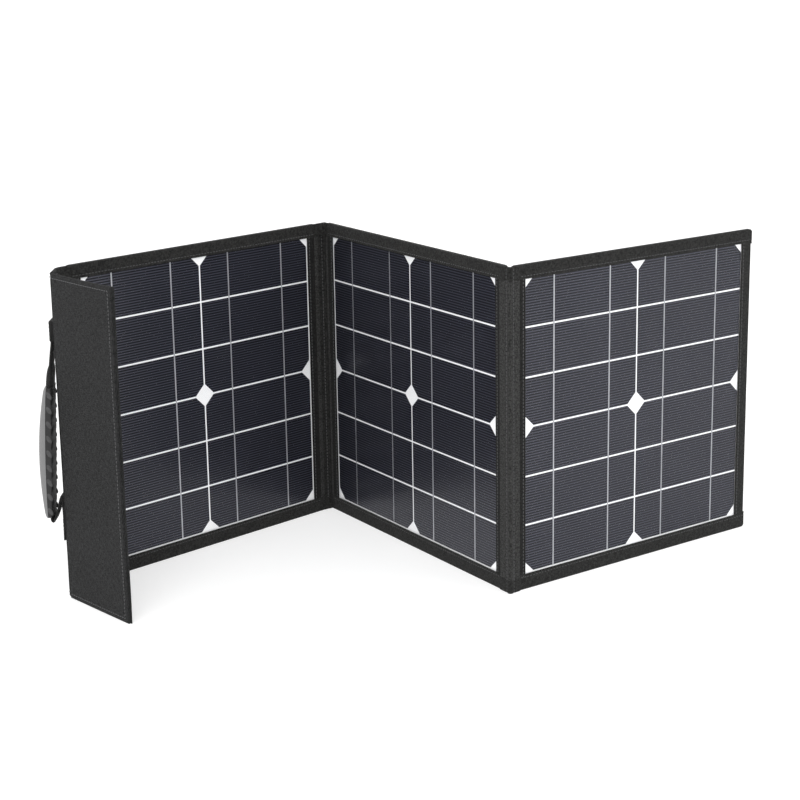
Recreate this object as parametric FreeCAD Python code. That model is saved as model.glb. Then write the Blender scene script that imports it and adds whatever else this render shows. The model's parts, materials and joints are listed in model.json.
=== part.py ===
import FreeCAD
import Part
import math
import os

# Folding solar panel case, standing open in a zigzag on its lower edge. Lengths are millimetres, angles degrees.
# Each moving body is drawn in a flat frame of its own: x along its width, y from its front face back, z up.
# hang() then turns it about its fold line on the body that carries it.

# ---- panels -------------------------------------------------------------------------------------------
PANEL_W = 344.0
PANEL_H = 354.0
PANEL_T = 6.0
CORNER_R = 3.5
BIND_W = 15.0
LIP_T = 0.9
EDGE_T = 1.2
INNER_GAP = 0.3
FILM_T = 0.4
RIBBON_T = 0.15
CELL_T = 0.3
SHEET_T = 0.3
COVER_T = 0.6

# ---- solar cells: square wafers with cut corners, each sliced into strips -------------------------------
WAFER = 156.0
WAFER_CUT = 11.5
WAFERS_ACROSS = 2
WAFERS_UP = 2
STRIPS_PER_WAFER = 3
CELL_GAP = 2.0
CELLS_RAISED = 2.5
RIBBON_W = 1.6
RIBBONS_PER_WAFER = 2

# ---- folds and their rest angles ------------------------------------------------------------------------
FABRIC_T = 1.6
BEAD_R = 1.2
FOLD_CLEAR = 0.5
STRIP_L = 13.2
STRIP_GAP_MIDDLE = 3.4
STRIP_GAP_LEFT = 1.4
LEFT_TURN = 99.5
RIGHT_GAP_MIDDLE = 10.4
RIGHT_GAP = 7.0
RIGHT_LIFT = 0.8
RIGHT_TAPE_T = 1.2
RIGHT_TAPE_BACK = 2.2
RIGHT_TURN = 90.9

# ---- spine and closing flap -----------------------------------------------------------------------------
SPINE_TAPE = 12.7
SPINE_L = 28.3
SPINE_T = 4.0
SPINE_TURN = 45.3
SPINE_END = 3.8
FLAP_L = 108.0
FLAP_T = 3.5
FLAP_TURN = 44.7
CASE_WALL = 0.8
HOOK_W = 20.0
HOOK_T = 0.8
HOOK_IN = 5.0
HOOK_SHORT = 20.0

# ---- carrying handle: offsets are from the spine's outer face, given at the grip's top, middle and foot ----
STRAP_W = 20.0
STRAP_T = 2.0
STRAP_OFF = 2.7
ANCHOR_T = 2.4
LOWER_ANCHOR_T = 1.4
UPPER_ANCHOR = (279.0, 302.0)
LOWER_ANCHOR = (62.0, 106.0)
STRAP_TOP = 277.0
STRAP_FOLD = 110.0
GRIP_Z = (88.0, 231.0)
GRIP_W = 28.0
GRIP_INNER = (4.2, 7.0, 11.5)
GRIP_SEAM = (13.1, 15.2, 19.2)
GRIP_OUTER = (13.9, 24.4, 20.0)
GRIP_ROUND = 5.0
SLOT_CLEAR = 0.3
RIB_COUNT = 9
RIB_R = 5.2
RIB_DEPTH = 2.0

# ---- accessory pocket, its lid, and the junction box, all on the middle panel's back -----------------------
POCKET_X = (-150.0, 20.0)
POCKET_Z = (140.0, 318.0)
POCKET_DEPTH = 18.0
POCKET_WALL = 1.2
LID_DROP = 46.0
LID_T = 1.6
LID_GAP = 0.5
LID_ROOT = 2.2
LID_HEM_H = 9.0
PATCH_W = 90.0
PATCH_H = 18.0
PATCH_T = 0.6
BOX_X = (-120.0, -30.0)
BOX_Z = (50.0, 112.0)
BOX_DEPTH = 15.0
BOX_WALL = 2.0
BOX_LID_T = 2.5
BOX_ROUND = 4.0
SEAL_W = 1.2
SEAL_T = 0.8
SCREW_IN = 6.0
SCREW_R = 1.5
SCREW_HEAD_R = 2.6
SCREW_HEAD_T = 1.4
SCREW_L = 9.0
POST_R = 3.6
TERMINAL = (34.0, 14.0, 7.0)
DIODE_R = 1.6
DIODE_L = 9.0
DIODES = 3
GLAND_R = 5.4
GLAND_L = 12.0
GLAND_NUT_R = 6.6
GLAND_NECK_WALL = 1.2
GLAND_NUT_L = 5.0
GLAND_BORE_R = 2.6

Vec = FreeCAD.Vector
UP = Vec(0, 0, 1)
shapes = {}
axes = {}


def box(x, y, z):
    """A block between pairs of limits, given in any order."""
    low = [min(pair) for pair in (x, y, z)]
    span = [abs(pair[1] - pair[0]) for pair in (x, y, z)]
    return Part.makeBox(*span, Vec(*low))


def plate(outline, y0, y1):
    """An outline in the x-z plane, thick from y0 to y1."""
    corners = [Vec(x, y0, z) for x, z in outline]
    face = Part.Face(Part.makePolygon(corners + corners[:1]))
    return face.extrude(Vec(0, y1 - y0, 0))


def band(profile, x0, x1):
    """An outline in the y-z plane, wide from x0 to x1."""
    corners = [Vec(x0, y, z) for y, z in profile]
    face = Part.Face(Part.makePolygon(corners + corners[:1]))
    return face.extrude(Vec(x1 - x0, 0, 0))


def post(x, y, z0, z1, radius):
    return Part.makeCylinder(radius, z1 - z0, Vec(x, y, z0))


def peg(x, y0, y1, z, radius):
    """A round bar along y."""
    return Part.makeCylinder(radius, y1 - y0, Vec(x, y0, z), Vec(0, 1, 0))


def rounded(shape, radius, along):
    """The shape with its edges along one direction rounded."""
    edges = [e for e in shape.Edges if abs(e.tangentAt(e.FirstParameter).dot(along)) > 0.999]
    return shape.makeFillet(radius, edges)


def hang(parent, at, turn, own=(0.0, 0.0)):
    """The frame of a body whose fold line, at own in its frame, lies at `at` in its parent's."""
    there = FreeCAD.Placement(Vec(at[0], at[1], 0), FreeCAD.Rotation(UP, turn))
    back = FreeCAD.Placement(Vec(-own[0], -own[1], 0), FreeCAD.Rotation())
    return parent.multiply(there).multiply(back)


def add(node, shape, frame):
    moved = shape.copy()
    moved.Placement = frame.multiply(moved.Placement)
    shapes[node] = moved


def mark(joint, frame, x, y, z, axis):
    """Note a joint's place and axis, for the record."""
    axes[joint] = (frame, Vec(x, y, z), axis)


# ---- where the folds lie, in each body's own frame --------------------------------------------------------
HALF = PANEL_W / 2
FOLD_Y = FABRIC_T / 2
# The row's +X runs along the zigzag, so the middle panel stands across it.
middle = FreeCAD.Placement(Vec(0, 0, 0), FreeCAD.Rotation(UP, -90))
strip = hang(middle, (-HALF - STRIP_GAP_MIDDLE, FOLD_Y), LEFT_TURN)
left = hang(strip, (-STRIP_L, 0), 0, (HALF + STRIP_GAP_LEFT, FOLD_Y))
spine = hang(left, (-HALF - SPINE_TAPE, FOLD_Y), SPINE_TURN)
flap = hang(spine, (-SPINE_L, 0), FLAP_TURN)
right = hang(middle, (HALF + RIGHT_GAP_MIDDLE, 0), RIGHT_TURN, (-HALF - RIGHT_GAP, -RIGHT_LIFT))

# ---- depth of each layer of a panel -----------------------------------------------------------------------
FILM_Y = LIP_T
RIBBON_Y = FILM_Y + FILM_T
CELL_Y = RIBBON_Y + RIBBON_T
SHEET_Y = CELL_Y + CELL_T
BOARD_Y = SHEET_Y + SHEET_T
BACK_Y = PANEL_T - LIP_T
COVER_Y = BACK_Y - COVER_T
STRIP_H = WAFER / STRIPS_PER_WAFER
BLOCK_W = WAFERS_ACROSS * WAFER + (WAFERS_ACROSS - 1) * CELL_GAP
STRIPS_UP = WAFERS_UP * STRIPS_PER_WAFER
BLOCK_H = STRIPS_UP * STRIP_H + (STRIPS_UP - 1) * CELL_GAP
BLOCK_Z = (PANEL_H - BLOCK_H) / 2 + CELLS_RAISED


def sheet(y0, y1):
    """A layer that fills a panel inside its binding."""
    inset = EDGE_T + INNER_GAP
    return box((-HALF + inset, HALF - inset), (y0, y1), (inset, PANEL_H - inset))


def cell(column, row):
    """One strip of a wafer: the strips at a wafer's ends carry its cut corners."""
    x0 = -BLOCK_W / 2 + column * (WAFER + CELL_GAP)
    x1 = x0 + WAFER
    z0 = BLOCK_Z + row * (STRIP_H + CELL_GAP)
    z1 = z0 + STRIP_H
    low = WAFER_CUT if row % STRIPS_PER_WAFER == 0 else 0.0
    high = WAFER_CUT if row % STRIPS_PER_WAFER == STRIPS_PER_WAFER - 1 else 0.0
    outline = [(x0 + low, z0), (x1 - low, z0), (x1, z0 + low), (x1, z1 - high)]
    outline += [(x1 - high, z1), (x0 + high, z1), (x0, z1 - high), (x0, z0 + low)]
    outline = [p for i, p in enumerate(outline) if p != outline[i - 1]]
    return plate(outline, CELL_Y, SHEET_Y)


def ribbon(column, which):
    x = -BLOCK_W / 2 + column * (WAFER + CELL_GAP) + WAFER * (which + 0.5) / RIBBONS_PER_WAFER
    return box((x - RIBBON_W / 2, x + RIBBON_W / 2), (RIBBON_Y, CELL_Y), (BLOCK_Z, BLOCK_Z + BLOCK_H))


def binding():
    """The folded edge tape: a channel round all four edges of the panel."""
    outer = rounded(box((-HALF, HALF), (0, PANEL_T), (0, PANEL_H)), CORNER_R, Vec(0, 1, 0))
    room = box((-HALF + EDGE_T, HALF - EDGE_T), (LIP_T, BACK_Y), (EDGE_T, PANEL_H - EDGE_T))
    window = box((-HALF + BIND_W, HALF - BIND_W), (0, PANEL_T), (BIND_W, PANEL_H - BIND_W))
    return outer.cut(room).cut(window)


def panel(name, frame):
    columns = range(WAFERS_ACROSS)
    add(name + "_front_film", sheet(FILM_Y, RIBBON_Y), frame)
    ribbons = [ribbon(c, r) for c in columns for r in range(RIBBONS_PER_WAFER)]
    add(name + "_ribbons", Part.makeCompound(ribbons), frame)
    cells = [cell(c, r) for c in columns for r in range(STRIPS_UP)]
    add(name + "_cells", Part.makeCompound(cells), frame)
    add(name + "_backsheet", sheet(SHEET_Y, BOARD_Y), frame)
    add(name + "_core_board", sheet(BOARD_Y, COVER_Y), frame)
    add(name + "_back_cover", sheet(COVER_Y, BACK_Y), frame)
    add(name + "_binding", binding(), frame)


def stiffener(length, thick, start):
    """A fabric sleeve and the board sewn into it, running to -x from start."""
    front = -FOLD_Y
    outer = box((-length, -start), (front, front + thick), (0, PANEL_H))
    outer = rounded(outer, min(1.0, thick / 4), UP)
    inner = box(
        (-length + CASE_WALL, -start - CASE_WALL),
        (front + CASE_WALL, front + thick - CASE_WALL),
        (CASE_WALL, PANEL_H - CASE_WALL),
    )
    return outer.cut(inner), inner


def beaded_tape(x_edge, x_bead, y0, y1, y_bead):
    """A strip of tape from a panel's edge to a rolled bead on the fold line."""
    tape = box((x_edge, x_bead), (y0, y1), (0, PANEL_H))
    return tape.fuse(post(x_bead, y_bead, 0, PANEL_H, BEAD_R)).removeSplitter()


def folds():
    """The fabric strips that join the bodies."""
    hem_end = -HALF - STRIP_GAP_MIDDLE + FOLD_Y + FOLD_CLEAR
    add("middle_left_hem", box((hem_end, -HALF), (0, FABRIC_T), (0, PANEL_H)), middle)
    web = box((-STRIP_L, 0), (-FOLD_Y, FOLD_Y), (0, PANEL_H))
    web = web.fuse([post(x, 0, 0, PANEL_H, FOLD_Y) for x in (0, -STRIP_L)]).removeSplitter()
    add("fold_strip", web, strip)
    mark("fold_strip_swing", middle, -HALF - STRIP_GAP_MIDDLE, FOLD_Y, 0, UP)
    mark("left_panel_fold", strip, -STRIP_L, 0, 0, UP)
    tape = beaded_tape(HALF, HALF + RIGHT_GAP_MIDDLE, 0, RIGHT_TAPE_T, 0)
    add("middle_fold_tape", tape, middle)
    tape_end = -HALF - RIGHT_GAP + RIGHT_TAPE_BACK
    add("right_fold_tape", box((tape_end, -HALF), (0, RIGHT_TAPE_T), (0, PANEL_H)), right)
    mark("right_panel_fold", middle, HALF + RIGHT_GAP_MIDDLE, 0, 0, UP)


def spine_and_flap():
    clear = BEAD_R + FOLD_CLEAR
    tape = beaded_tape(-HALF, -HALF - SPINE_TAPE, 0, FABRIC_T, FOLD_Y)
    add("left_spine_tape", tape, left)
    mark("spine_fold", left, -HALF - SPINE_TAPE, FOLD_Y, 0, UP)
    sleeve, board = stiffener(SPINE_L - SPINE_END, SPINE_T, clear)
    add("spine_sleeve", sleeve, spine)
    add("spine_board", board, spine)
    tape = beaded_tape(-SPINE_L + SPINE_END, -SPINE_L, -FOLD_Y, FOLD_Y, 0)
    add("spine_flap_tape", tape, spine)
    mark("flap_fold", spine, -SPINE_L, 0, 0, UP)
    sleeve, board = stiffener(FLAP_L, FLAP_T, clear)
    add("flap_sleeve", sleeve, flap)
    add("flap_board", board, flap)
    heights = (HOOK_SHORT, PANEL_H - HOOK_SHORT)
    hook_x = (-FLAP_L + HOOK_IN, -FLAP_L + HOOK_IN + HOOK_W)
    add("flap_hook_strip", box(hook_x, (-FOLD_Y - HOOK_T, -FOLD_Y), heights), flap)
    loop_x = [HALF + SPINE_TAPE + x for x in hook_x]
    add("middle_loop_strip", box(loop_x, (BACK_Y, BACK_Y + LIP_T + HOOK_T / 2), heights), middle)


def bowed(face, inner, outer, x0, x1):
    """A bar along z between two arcs, each through its offsets at the grip's top, middle and foot."""
    bottom, top = GRIP_Z
    heights = (top, (top + bottom) / 2, bottom)
    near = [Vec(x0, face + y, z) for y, z in zip(inner, heights)]
    far = [Vec(x0, face + y, z) for y, z in zip(outer, heights)]
    edges = [Part.Arc(*near).toShape(), Part.makeLine(near[2], far[2])]
    edges += [Part.Arc(*reversed(far)).toShape(), Part.makeLine(far[0], near[0])]
    return Part.Face(Part.Wire(edges)).extrude(Vec(x1 - x0, 0, 0))


def strap_line(face, grow=0.0):
    """The strap's side view: out from its upper end, through the grip, round its foot and up to the fold."""
    bottom, top = GRIP_Z
    near = face + STRAP_OFF
    half = STRAP_T / 2
    head = face + (GRIP_INNER[0] + GRIP_SEAM[0]) / 2
    foot = face + (GRIP_INNER[2] + GRIP_SEAM[2]) / 2
    slope = (foot - head) / (top - bottom)
    low = bottom - 2 * STRAP_T
    run = [(head - 4 * slope, top + 4), (foot + 4 * slope, low)]
    if grow:
        return [(y + side * (half + grow), z) for side in (-1, 1) for y, z in run[::side]]
    outer = [(near, STRAP_TOP), (near + STRAP_T, STRAP_TOP), (near + STRAP_T, STRAP_TOP - 6)]
    outer += [(run[0][0] + half, run[0][1]), (run[1][0] + half, low), (run[1][0] - half, low - STRAP_T)]
    outer += [(run[1][0] - 3 * half, low - STRAP_T), (near, STRAP_FOLD - 8), (near, STRAP_FOLD)]
    inner = [(near + STRAP_T, STRAP_FOLD), (near + STRAP_T, STRAP_FOLD - 7), (run[1][0] - 2 * half, low)]
    inner += [(run[1][0] - half, low + half), (run[0][0] - half, run[0][1]), (near, STRAP_TOP - 7)]
    return outer + inner


def handle():
    """A webbing strap sewn to the spine at both ends, with a moulded grip round it."""
    face = SPINE_T - FOLD_Y
    centre = -(BEAD_R + FOLD_CLEAR + SPINE_L - SPINE_END) / 2
    wide = (centre - STRAP_W / 2, centre + STRAP_W / 2)
    add("handle_upper_anchor", box(wide, (face, face + ANCHOR_T), UPPER_ANCHOR), spine)
    add("handle_lower_anchor", box(wide, (face, face + LOWER_ANCHOR_T), LOWER_ANCHOR), spine)
    pivot_y = face + STRAP_OFF + STRAP_T / 2
    strap = band(strap_line(face), *wide)
    root = post(centre, pivot_y, STRAP_TOP, UPPER_ANCHOR[0] - SLOT_CLEAR, STRAP_T / 2)
    add("handle_strap", strap.fuse(root).removeSplitter(), spine)
    grip_x = (centre - GRIP_W / 2, centre + GRIP_W / 2)
    bottom, top = GRIP_Z
    around = rounded(box(grip_x, (face + GRIP_INNER[0], face + GRIP_OUTER[1]), GRIP_Z), GRIP_ROUND, UP)
    cap = bowed(face, GRIP_SEAM, GRIP_OUTER, *grip_x).common(around)
    add("handle_grip_cap", cap, spine)
    liner = bowed(face, GRIP_INNER, GRIP_SEAM, *grip_x)
    liner = liner.cut(band(strap_line(face, SLOT_CLEAR), wide[0] - SLOT_CLEAR, wide[1] + SLOT_CLEAR))
    pitch = (top - bottom) / RIB_COUNT
    for number in range(RIB_COUNT):
        z = bottom + (number + 0.5) * pitch
        share = (top - z) / (top - bottom)
        bend = 4 * share * (1 - share)
        chord = GRIP_INNER[0] + share * (GRIP_INNER[2] - GRIP_INNER[0])
        sag = GRIP_INNER[1] - (GRIP_INNER[0] + GRIP_INNER[2]) / 2
        y = face + chord + bend * sag - RIB_R + RIB_DEPTH
        groove = Part.makeCylinder(RIB_R, GRIP_W, Vec(grip_x[0], y, z), Vec(1, 0, 0))
        liner = liner.cut(groove)
    add("handle_grip_liner", liner, spine)
    mark("handle_swing", spine, centre, pivot_y, (bottom + top) / 2, UP)


def pocket():
    """A box-shaped fabric pocket, open at its top, under a lid held down by hook and loop."""
    y_out = BACK_Y + POCKET_DEPTH
    x0, x1 = POCKET_X
    z0, z1 = POCKET_Z
    shell = box(POCKET_X, (BACK_Y, y_out), POCKET_Z)
    room = box(
        (x0 + POCKET_WALL, x1 - POCKET_WALL),
        (BACK_Y + POCKET_WALL, y_out - POCKET_WALL),
        (z0 + POCKET_WALL, z1),
    )
    add("pocket_body", shell.cut(room), middle)
    pivot_y = BACK_Y + LID_ROOT
    pivot_z = z1 + LID_GAP + LID_T / 2
    patch_y = y_out + PATCH_T
    hook_y = patch_y + LID_GAP
    lid_y = hook_y + PATCH_T
    root = Part.makeCylinder(LID_T / 2, x1 - x0, Vec(x0, pivot_y, pivot_z), Vec(1, 0, 0))
    top = box(POCKET_X, (pivot_y, lid_y + LID_T), (pivot_z - LID_T / 2, pivot_z + LID_T / 2))
    front = box(POCKET_X, (lid_y, lid_y + LID_T), (z1 - LID_DROP, pivot_z + LID_T / 2))
    add("pocket_lid", top.fuse([front, root]).removeSplitter(), middle)
    hem_z = pivot_z + LID_T / 2 + FOLD_CLEAR
    add("pocket_lid_hem", box(POCKET_X, (BACK_Y, BACK_Y + EDGE_T), (hem_z, hem_z + LID_HEM_H)), middle)
    middle_x = (x0 + x1) / 2
    patch_x = (middle_x - PATCH_W / 2, middle_x + PATCH_W / 2)
    patch_z = (z1 - LID_DROP + 4, z1 - LID_DROP + 4 + PATCH_H)
    add("pocket_loop_patch", box(patch_x, (y_out, patch_y), patch_z), middle)
    add("pocket_hook_patch", box(patch_x, (hook_y, lid_y), patch_z), middle)
    mark("pocket_lid_hinge", middle, middle_x, pivot_y, pivot_z, Vec(-1, 0, 0))


def junction_box():
    """The panels' outputs meet in a screwed plastic box with a cable gland."""
    x0, x1 = BOX_X
    z0, z1 = BOX_Z
    y_lid = BACK_Y + BOX_DEPTH
    y_top = y_lid + BOX_LID_T
    body = rounded(box(BOX_X, (BACK_Y, y_lid), BOX_Z), BOX_ROUND, Vec(0, 1, 0))
    room = box((x0 + BOX_WALL, x1 - BOX_WALL), (BACK_Y + BOX_WALL, y_lid), (z0 + BOX_WALL, z1 - BOX_WALL))
    corners = [(x, z) for x in (x0 + SCREW_IN, x1 - SCREW_IN) for z in (z0 + SCREW_IN, z1 - SCREW_IN)]
    posts = [peg(x, BACK_Y + BOX_WALL, y_lid, z, POST_R) for x, z in corners]
    room = room.cut(Part.makeCompound(posts))
    body = body.cut(room)
    groove_in = BOX_WALL - SEAL_W - 0.3
    ring = box((x0 + groove_in, x1 - groove_in), (y_lid - SEAL_T, y_lid), (z0 + groove_in, z1 - groove_in))
    ring = rounded(ring, BOX_ROUND - groove_in, Vec(0, 1, 0))
    hole_in = groove_in + SEAL_W
    hole = box((x0 + hole_in, x1 - hole_in), (y_lid - SEAL_T, y_lid), (z0 + hole_in, z1 - hole_in))
    ring = ring.cut(rounded(hole, BOX_ROUND - hole_in, Vec(0, 1, 0)))
    body = body.cut(ring)
    lid = rounded(box(BOX_X, (y_lid, y_top), BOX_Z), BOX_ROUND, Vec(0, 1, 0))
    gland_y = BACK_Y + BOX_DEPTH / 2
    gland_z = (z0 + z1) / 2
    right_way = Vec(1, 0, 0)
    neck_r = GLAND_BORE_R + GLAND_NECK_WALL
    entry = Part.makeCylinder(neck_r, BOX_WALL, Vec(x1 - BOX_WALL, gland_y, gland_z), right_way)
    body = body.cut(entry)
    for number, (x, z) in enumerate(corners, 1):
        shank = peg(x, y_top - SCREW_L, y_top, z, SCREW_R)
        head = peg(x, y_top, y_top + SCREW_HEAD_T, z, SCREW_HEAD_R)
        add("junction_screw_%d" % number, shank.fuse(head), middle)
        body = body.cut(shank)
        lid = lid.cut(shank)
    add("junction_box_base", body, middle)
    add("junction_box_seal", ring, middle)
    add("junction_box_lid", lid, middle)
    wide, tall, deep = TERMINAL
    centre_x = (x0 + x1) / 2
    floor_y = BACK_Y + BOX_WALL
    block = box((centre_x - wide / 2, centre_x + wide / 2), (floor_y, floor_y + deep), (z0 + 8, z0 + 8 + tall))
    add("terminal_block", block, middle)
    diodes = []
    for number in range(DIODES):
        x = centre_x + (number - (DIODES - 1) / 2) * wide / DIODES
        diodes.append(post(x, floor_y + DIODE_R, z0 + 12 + tall, z0 + 12 + tall + DIODE_L, DIODE_R))
    add("bypass_diodes", Part.makeCompound(diodes), middle)
    start = Vec(x1 - BOX_WALL, gland_y, gland_z)
    neck = Part.makeCylinder(neck_r, BOX_WALL, start, right_way)
    barrel = Part.makeCylinder(GLAND_R, GLAND_L, Vec(x1, gland_y, gland_z), right_way)
    bore = Part.makeCylinder(GLAND_BORE_R, GLAND_L + GLAND_NUT_L + BOX_WALL, start, right_way)
    add("cable_gland", neck.fuse(barrel).removeSplitter().cut(bore), middle)
    outline = []
    for number in range(6):
        angle = math.radians(60 * number)
        y = gland_y + GLAND_NUT_R * math.cos(angle)
        outline.append(Vec(x1 + GLAND_L, y, gland_z + GLAND_NUT_R * math.sin(angle)))
    nut = Part.Face(Part.makePolygon(outline + outline[:1])).extrude(Vec(GLAND_NUT_L, 0, 0))
    add("gland_nut", nut.cut(bore), middle)
    axes["gland_mouth"] = (middle, Vec(x1 + GLAND_L + GLAND_NUT_L, gland_y, gland_z), right_way)


for side, frame in (("left", left), ("middle", middle), ("right", right)):
    panel(side, frame)
folds()
spine_and_flap()
handle()
pocket()
junction_box()

# The row's origin is the middle of the footprint's bounding box, on the floor.
bounds = Part.makeCompound(list(shapes.values())).BoundBox
shift = Vec(-(bounds.XMin + bounds.XMax) / 2, -(bounds.YMin + bounds.YMax) / 2, -bounds.ZMin)
os.makedirs("parts", exist_ok=True)
for node, shape in shapes.items():
    shape.translate(shift)
    shape.exportStep("parts/%s.step" % node)
for name, (frame, point, axis) in axes.items():
    place = frame.multVec(point) + shift
    way = frame.Rotation.multVec(axis)
    print("%s %.5f %.5f %.5f %.6f %.6f %.6f" % (name, *place, *way))
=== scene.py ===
"""A folding solar panel case: its fabric, edge tape, webbing, grip and finishes, round the CAD frame."""

import json
import math

import bpy
import numpy as np
from mathutils import Matrix, Vector, noise


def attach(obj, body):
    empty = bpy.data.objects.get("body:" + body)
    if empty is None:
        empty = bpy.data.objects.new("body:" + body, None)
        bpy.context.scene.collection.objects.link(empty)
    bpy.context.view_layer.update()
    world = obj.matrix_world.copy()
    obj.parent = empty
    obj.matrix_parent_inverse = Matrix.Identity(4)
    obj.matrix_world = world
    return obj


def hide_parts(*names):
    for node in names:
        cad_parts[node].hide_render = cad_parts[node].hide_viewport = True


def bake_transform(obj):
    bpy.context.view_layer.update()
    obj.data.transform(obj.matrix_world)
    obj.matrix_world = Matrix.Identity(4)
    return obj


bl_info = {
    "name": "Folding Solar Case",
    "version": (1, 0, 0),
    "blender": (4, 5, 0),
    "location": "3D View > Sidebar > Solar Case",
    "description": "Builds the cloth, tape, webbing and finishes of a folding solar panel case",
    "category": "Add Mesh",
}

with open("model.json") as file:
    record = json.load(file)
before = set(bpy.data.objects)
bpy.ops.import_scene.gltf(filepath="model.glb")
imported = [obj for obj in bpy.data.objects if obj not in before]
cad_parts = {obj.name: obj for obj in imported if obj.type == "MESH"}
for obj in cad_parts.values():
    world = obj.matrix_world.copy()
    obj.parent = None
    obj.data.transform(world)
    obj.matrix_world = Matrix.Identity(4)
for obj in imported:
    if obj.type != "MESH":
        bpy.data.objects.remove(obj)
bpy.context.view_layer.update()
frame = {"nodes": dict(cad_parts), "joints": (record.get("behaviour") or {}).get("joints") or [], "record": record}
MM = 0.001
UP = Vector((0, 0, 1))
JOINTS = {joint["name"]: Vector(joint["pos_m"]) for joint in frame["joints"]}


# ---- where each body stands, read from the frame -------------------------------------------------------


def corners(node):
    """The different vertices of a CAD node, in metres."""
    mesh = frame["nodes"][node].data
    flat = np.empty(len(mesh.vertices) * 3)
    mesh.vertices.foreach_get("co", flat)
    return np.unique(flat.reshape(-1, 3).round(6), axis=0)


class Place:
    """A body's own flat frame: x along its width, y from its front face back, z up."""

    def __init__(self, origin, along):
        self.origin = np.array([origin[0], origin[1], 0.0])
        way = np.array([along[0], along[1], 0.0])
        self.ex = way / np.linalg.norm(way)
        self.ey = np.array([-self.ex[1], self.ex[0], 0.0])

    def at(self, x, y, z):
        """Row coordinates of local ones, which may be arrays."""
        x, y, z = np.broadcast_arrays(x, y, z)
        flat = self.origin + x[..., None] * self.ex + y[..., None] * self.ey
        flat[..., 2] = z
        return flat

    def plan(self, x, y):
        return self.at(x, y, 0.0)[..., :2]

    def extent(self, node):
        """A node's limits in this frame: (x0, x1), (y0, y1), (z0, z1)."""
        co = corners(node) - self.origin
        local = np.stack([co @ self.ex, co @ self.ey, co[:, 2]], axis=1)
        return list(zip(local.min(0), local.max(0)))


def long_way(node):
    """The level direction of a flat node's longer side, and its middle."""
    co = corners(node)
    co = co[co[:, 2] < co[:, 2].min() + 1e-5][:, :2]
    middle = (co.min(0) + co.max(0)) / 2
    return np.linalg.svd(co - co.mean(0))[2][0], middle


def stand(node, joint, side):
    """The frame of a flat body, with x towards the joint (side 1) or away from it (side -1)."""
    way, middle = long_way(node)
    towards = np.array(JOINTS[joint])[:2] - middle
    return way * (side if way @ towards > 0 else -side), middle


def panel_place(name, joint, side):
    way, middle = stand(name + "_backsheet", joint, side)
    rough = Place(middle, way)
    (x0, x1), (y0, _y1), _z = rough.extent(name + "_binding")
    return Place(rough.at((x0 + x1) / 2, y0, 0.0), way)


LEFT = panel_place("left", "left_panel_fold", 1)
MIDDLE = panel_place("middle", "right_panel_fold", 1)
RIGHT = panel_place("right", "right_panel_fold", -1)
STRIP = Place(JOINTS["fold_strip_swing"], JOINTS["fold_strip_swing"] - JOINTS["left_panel_fold"])
SPINE = Place(JOINTS["spine_fold"], JOINTS["spine_fold"] - JOINTS["flap_fold"])
FLAP = Place(JOINTS["flap_fold"], stand("flap_board", "flap_fold", 1)[0])
PANELS = (("left", LEFT, "left_panel"), ("middle", MIDDLE, "middle_panel"), ("right", RIGHT, "right_panel"))

(_LOW, HALF_W), (_FRONT, PANEL_T), (_FLOOR, PANEL_H) = MIDDLE.extent("middle_binding")
TAPE_W = HALF_W - MIDDLE.extent("middle_cells")[0][1]


# ---- meshes --------------------------------------------------------------------------------------------


def ripple(points, size, seed=0.0):
    """Smooth wandering values from -1 to 1 at points, over lumps of the given size."""
    flat = np.asarray(points).reshape(-1, 3) / size + seed
    values = [noise.noise(Vector(p)) for p in flat]
    return np.array(values).reshape(np.asarray(points).shape[:-1])


def rim(distance, radius):
    """How full a soft edge is at a distance from it: 0 at the edge, 1 from the radius on."""
    share = np.clip(np.asarray(distance) / radius, 0, 1)
    return np.sqrt(1 - (1 - share) ** 2)


def spread(low, high, step, edge):
    """Places from low to high: close together near both ends, then evenly spaced."""
    near = np.array([0.0, 0.12, 0.35, 0.7, 1.0]) * edge
    count = max(2, int(round((high - low - 2 * edge) / step)) + 1)
    inner = np.linspace(low + edge, high - edge, count)
    return np.unique(np.concatenate([low + near, inner, high - near]).round(7))


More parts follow.
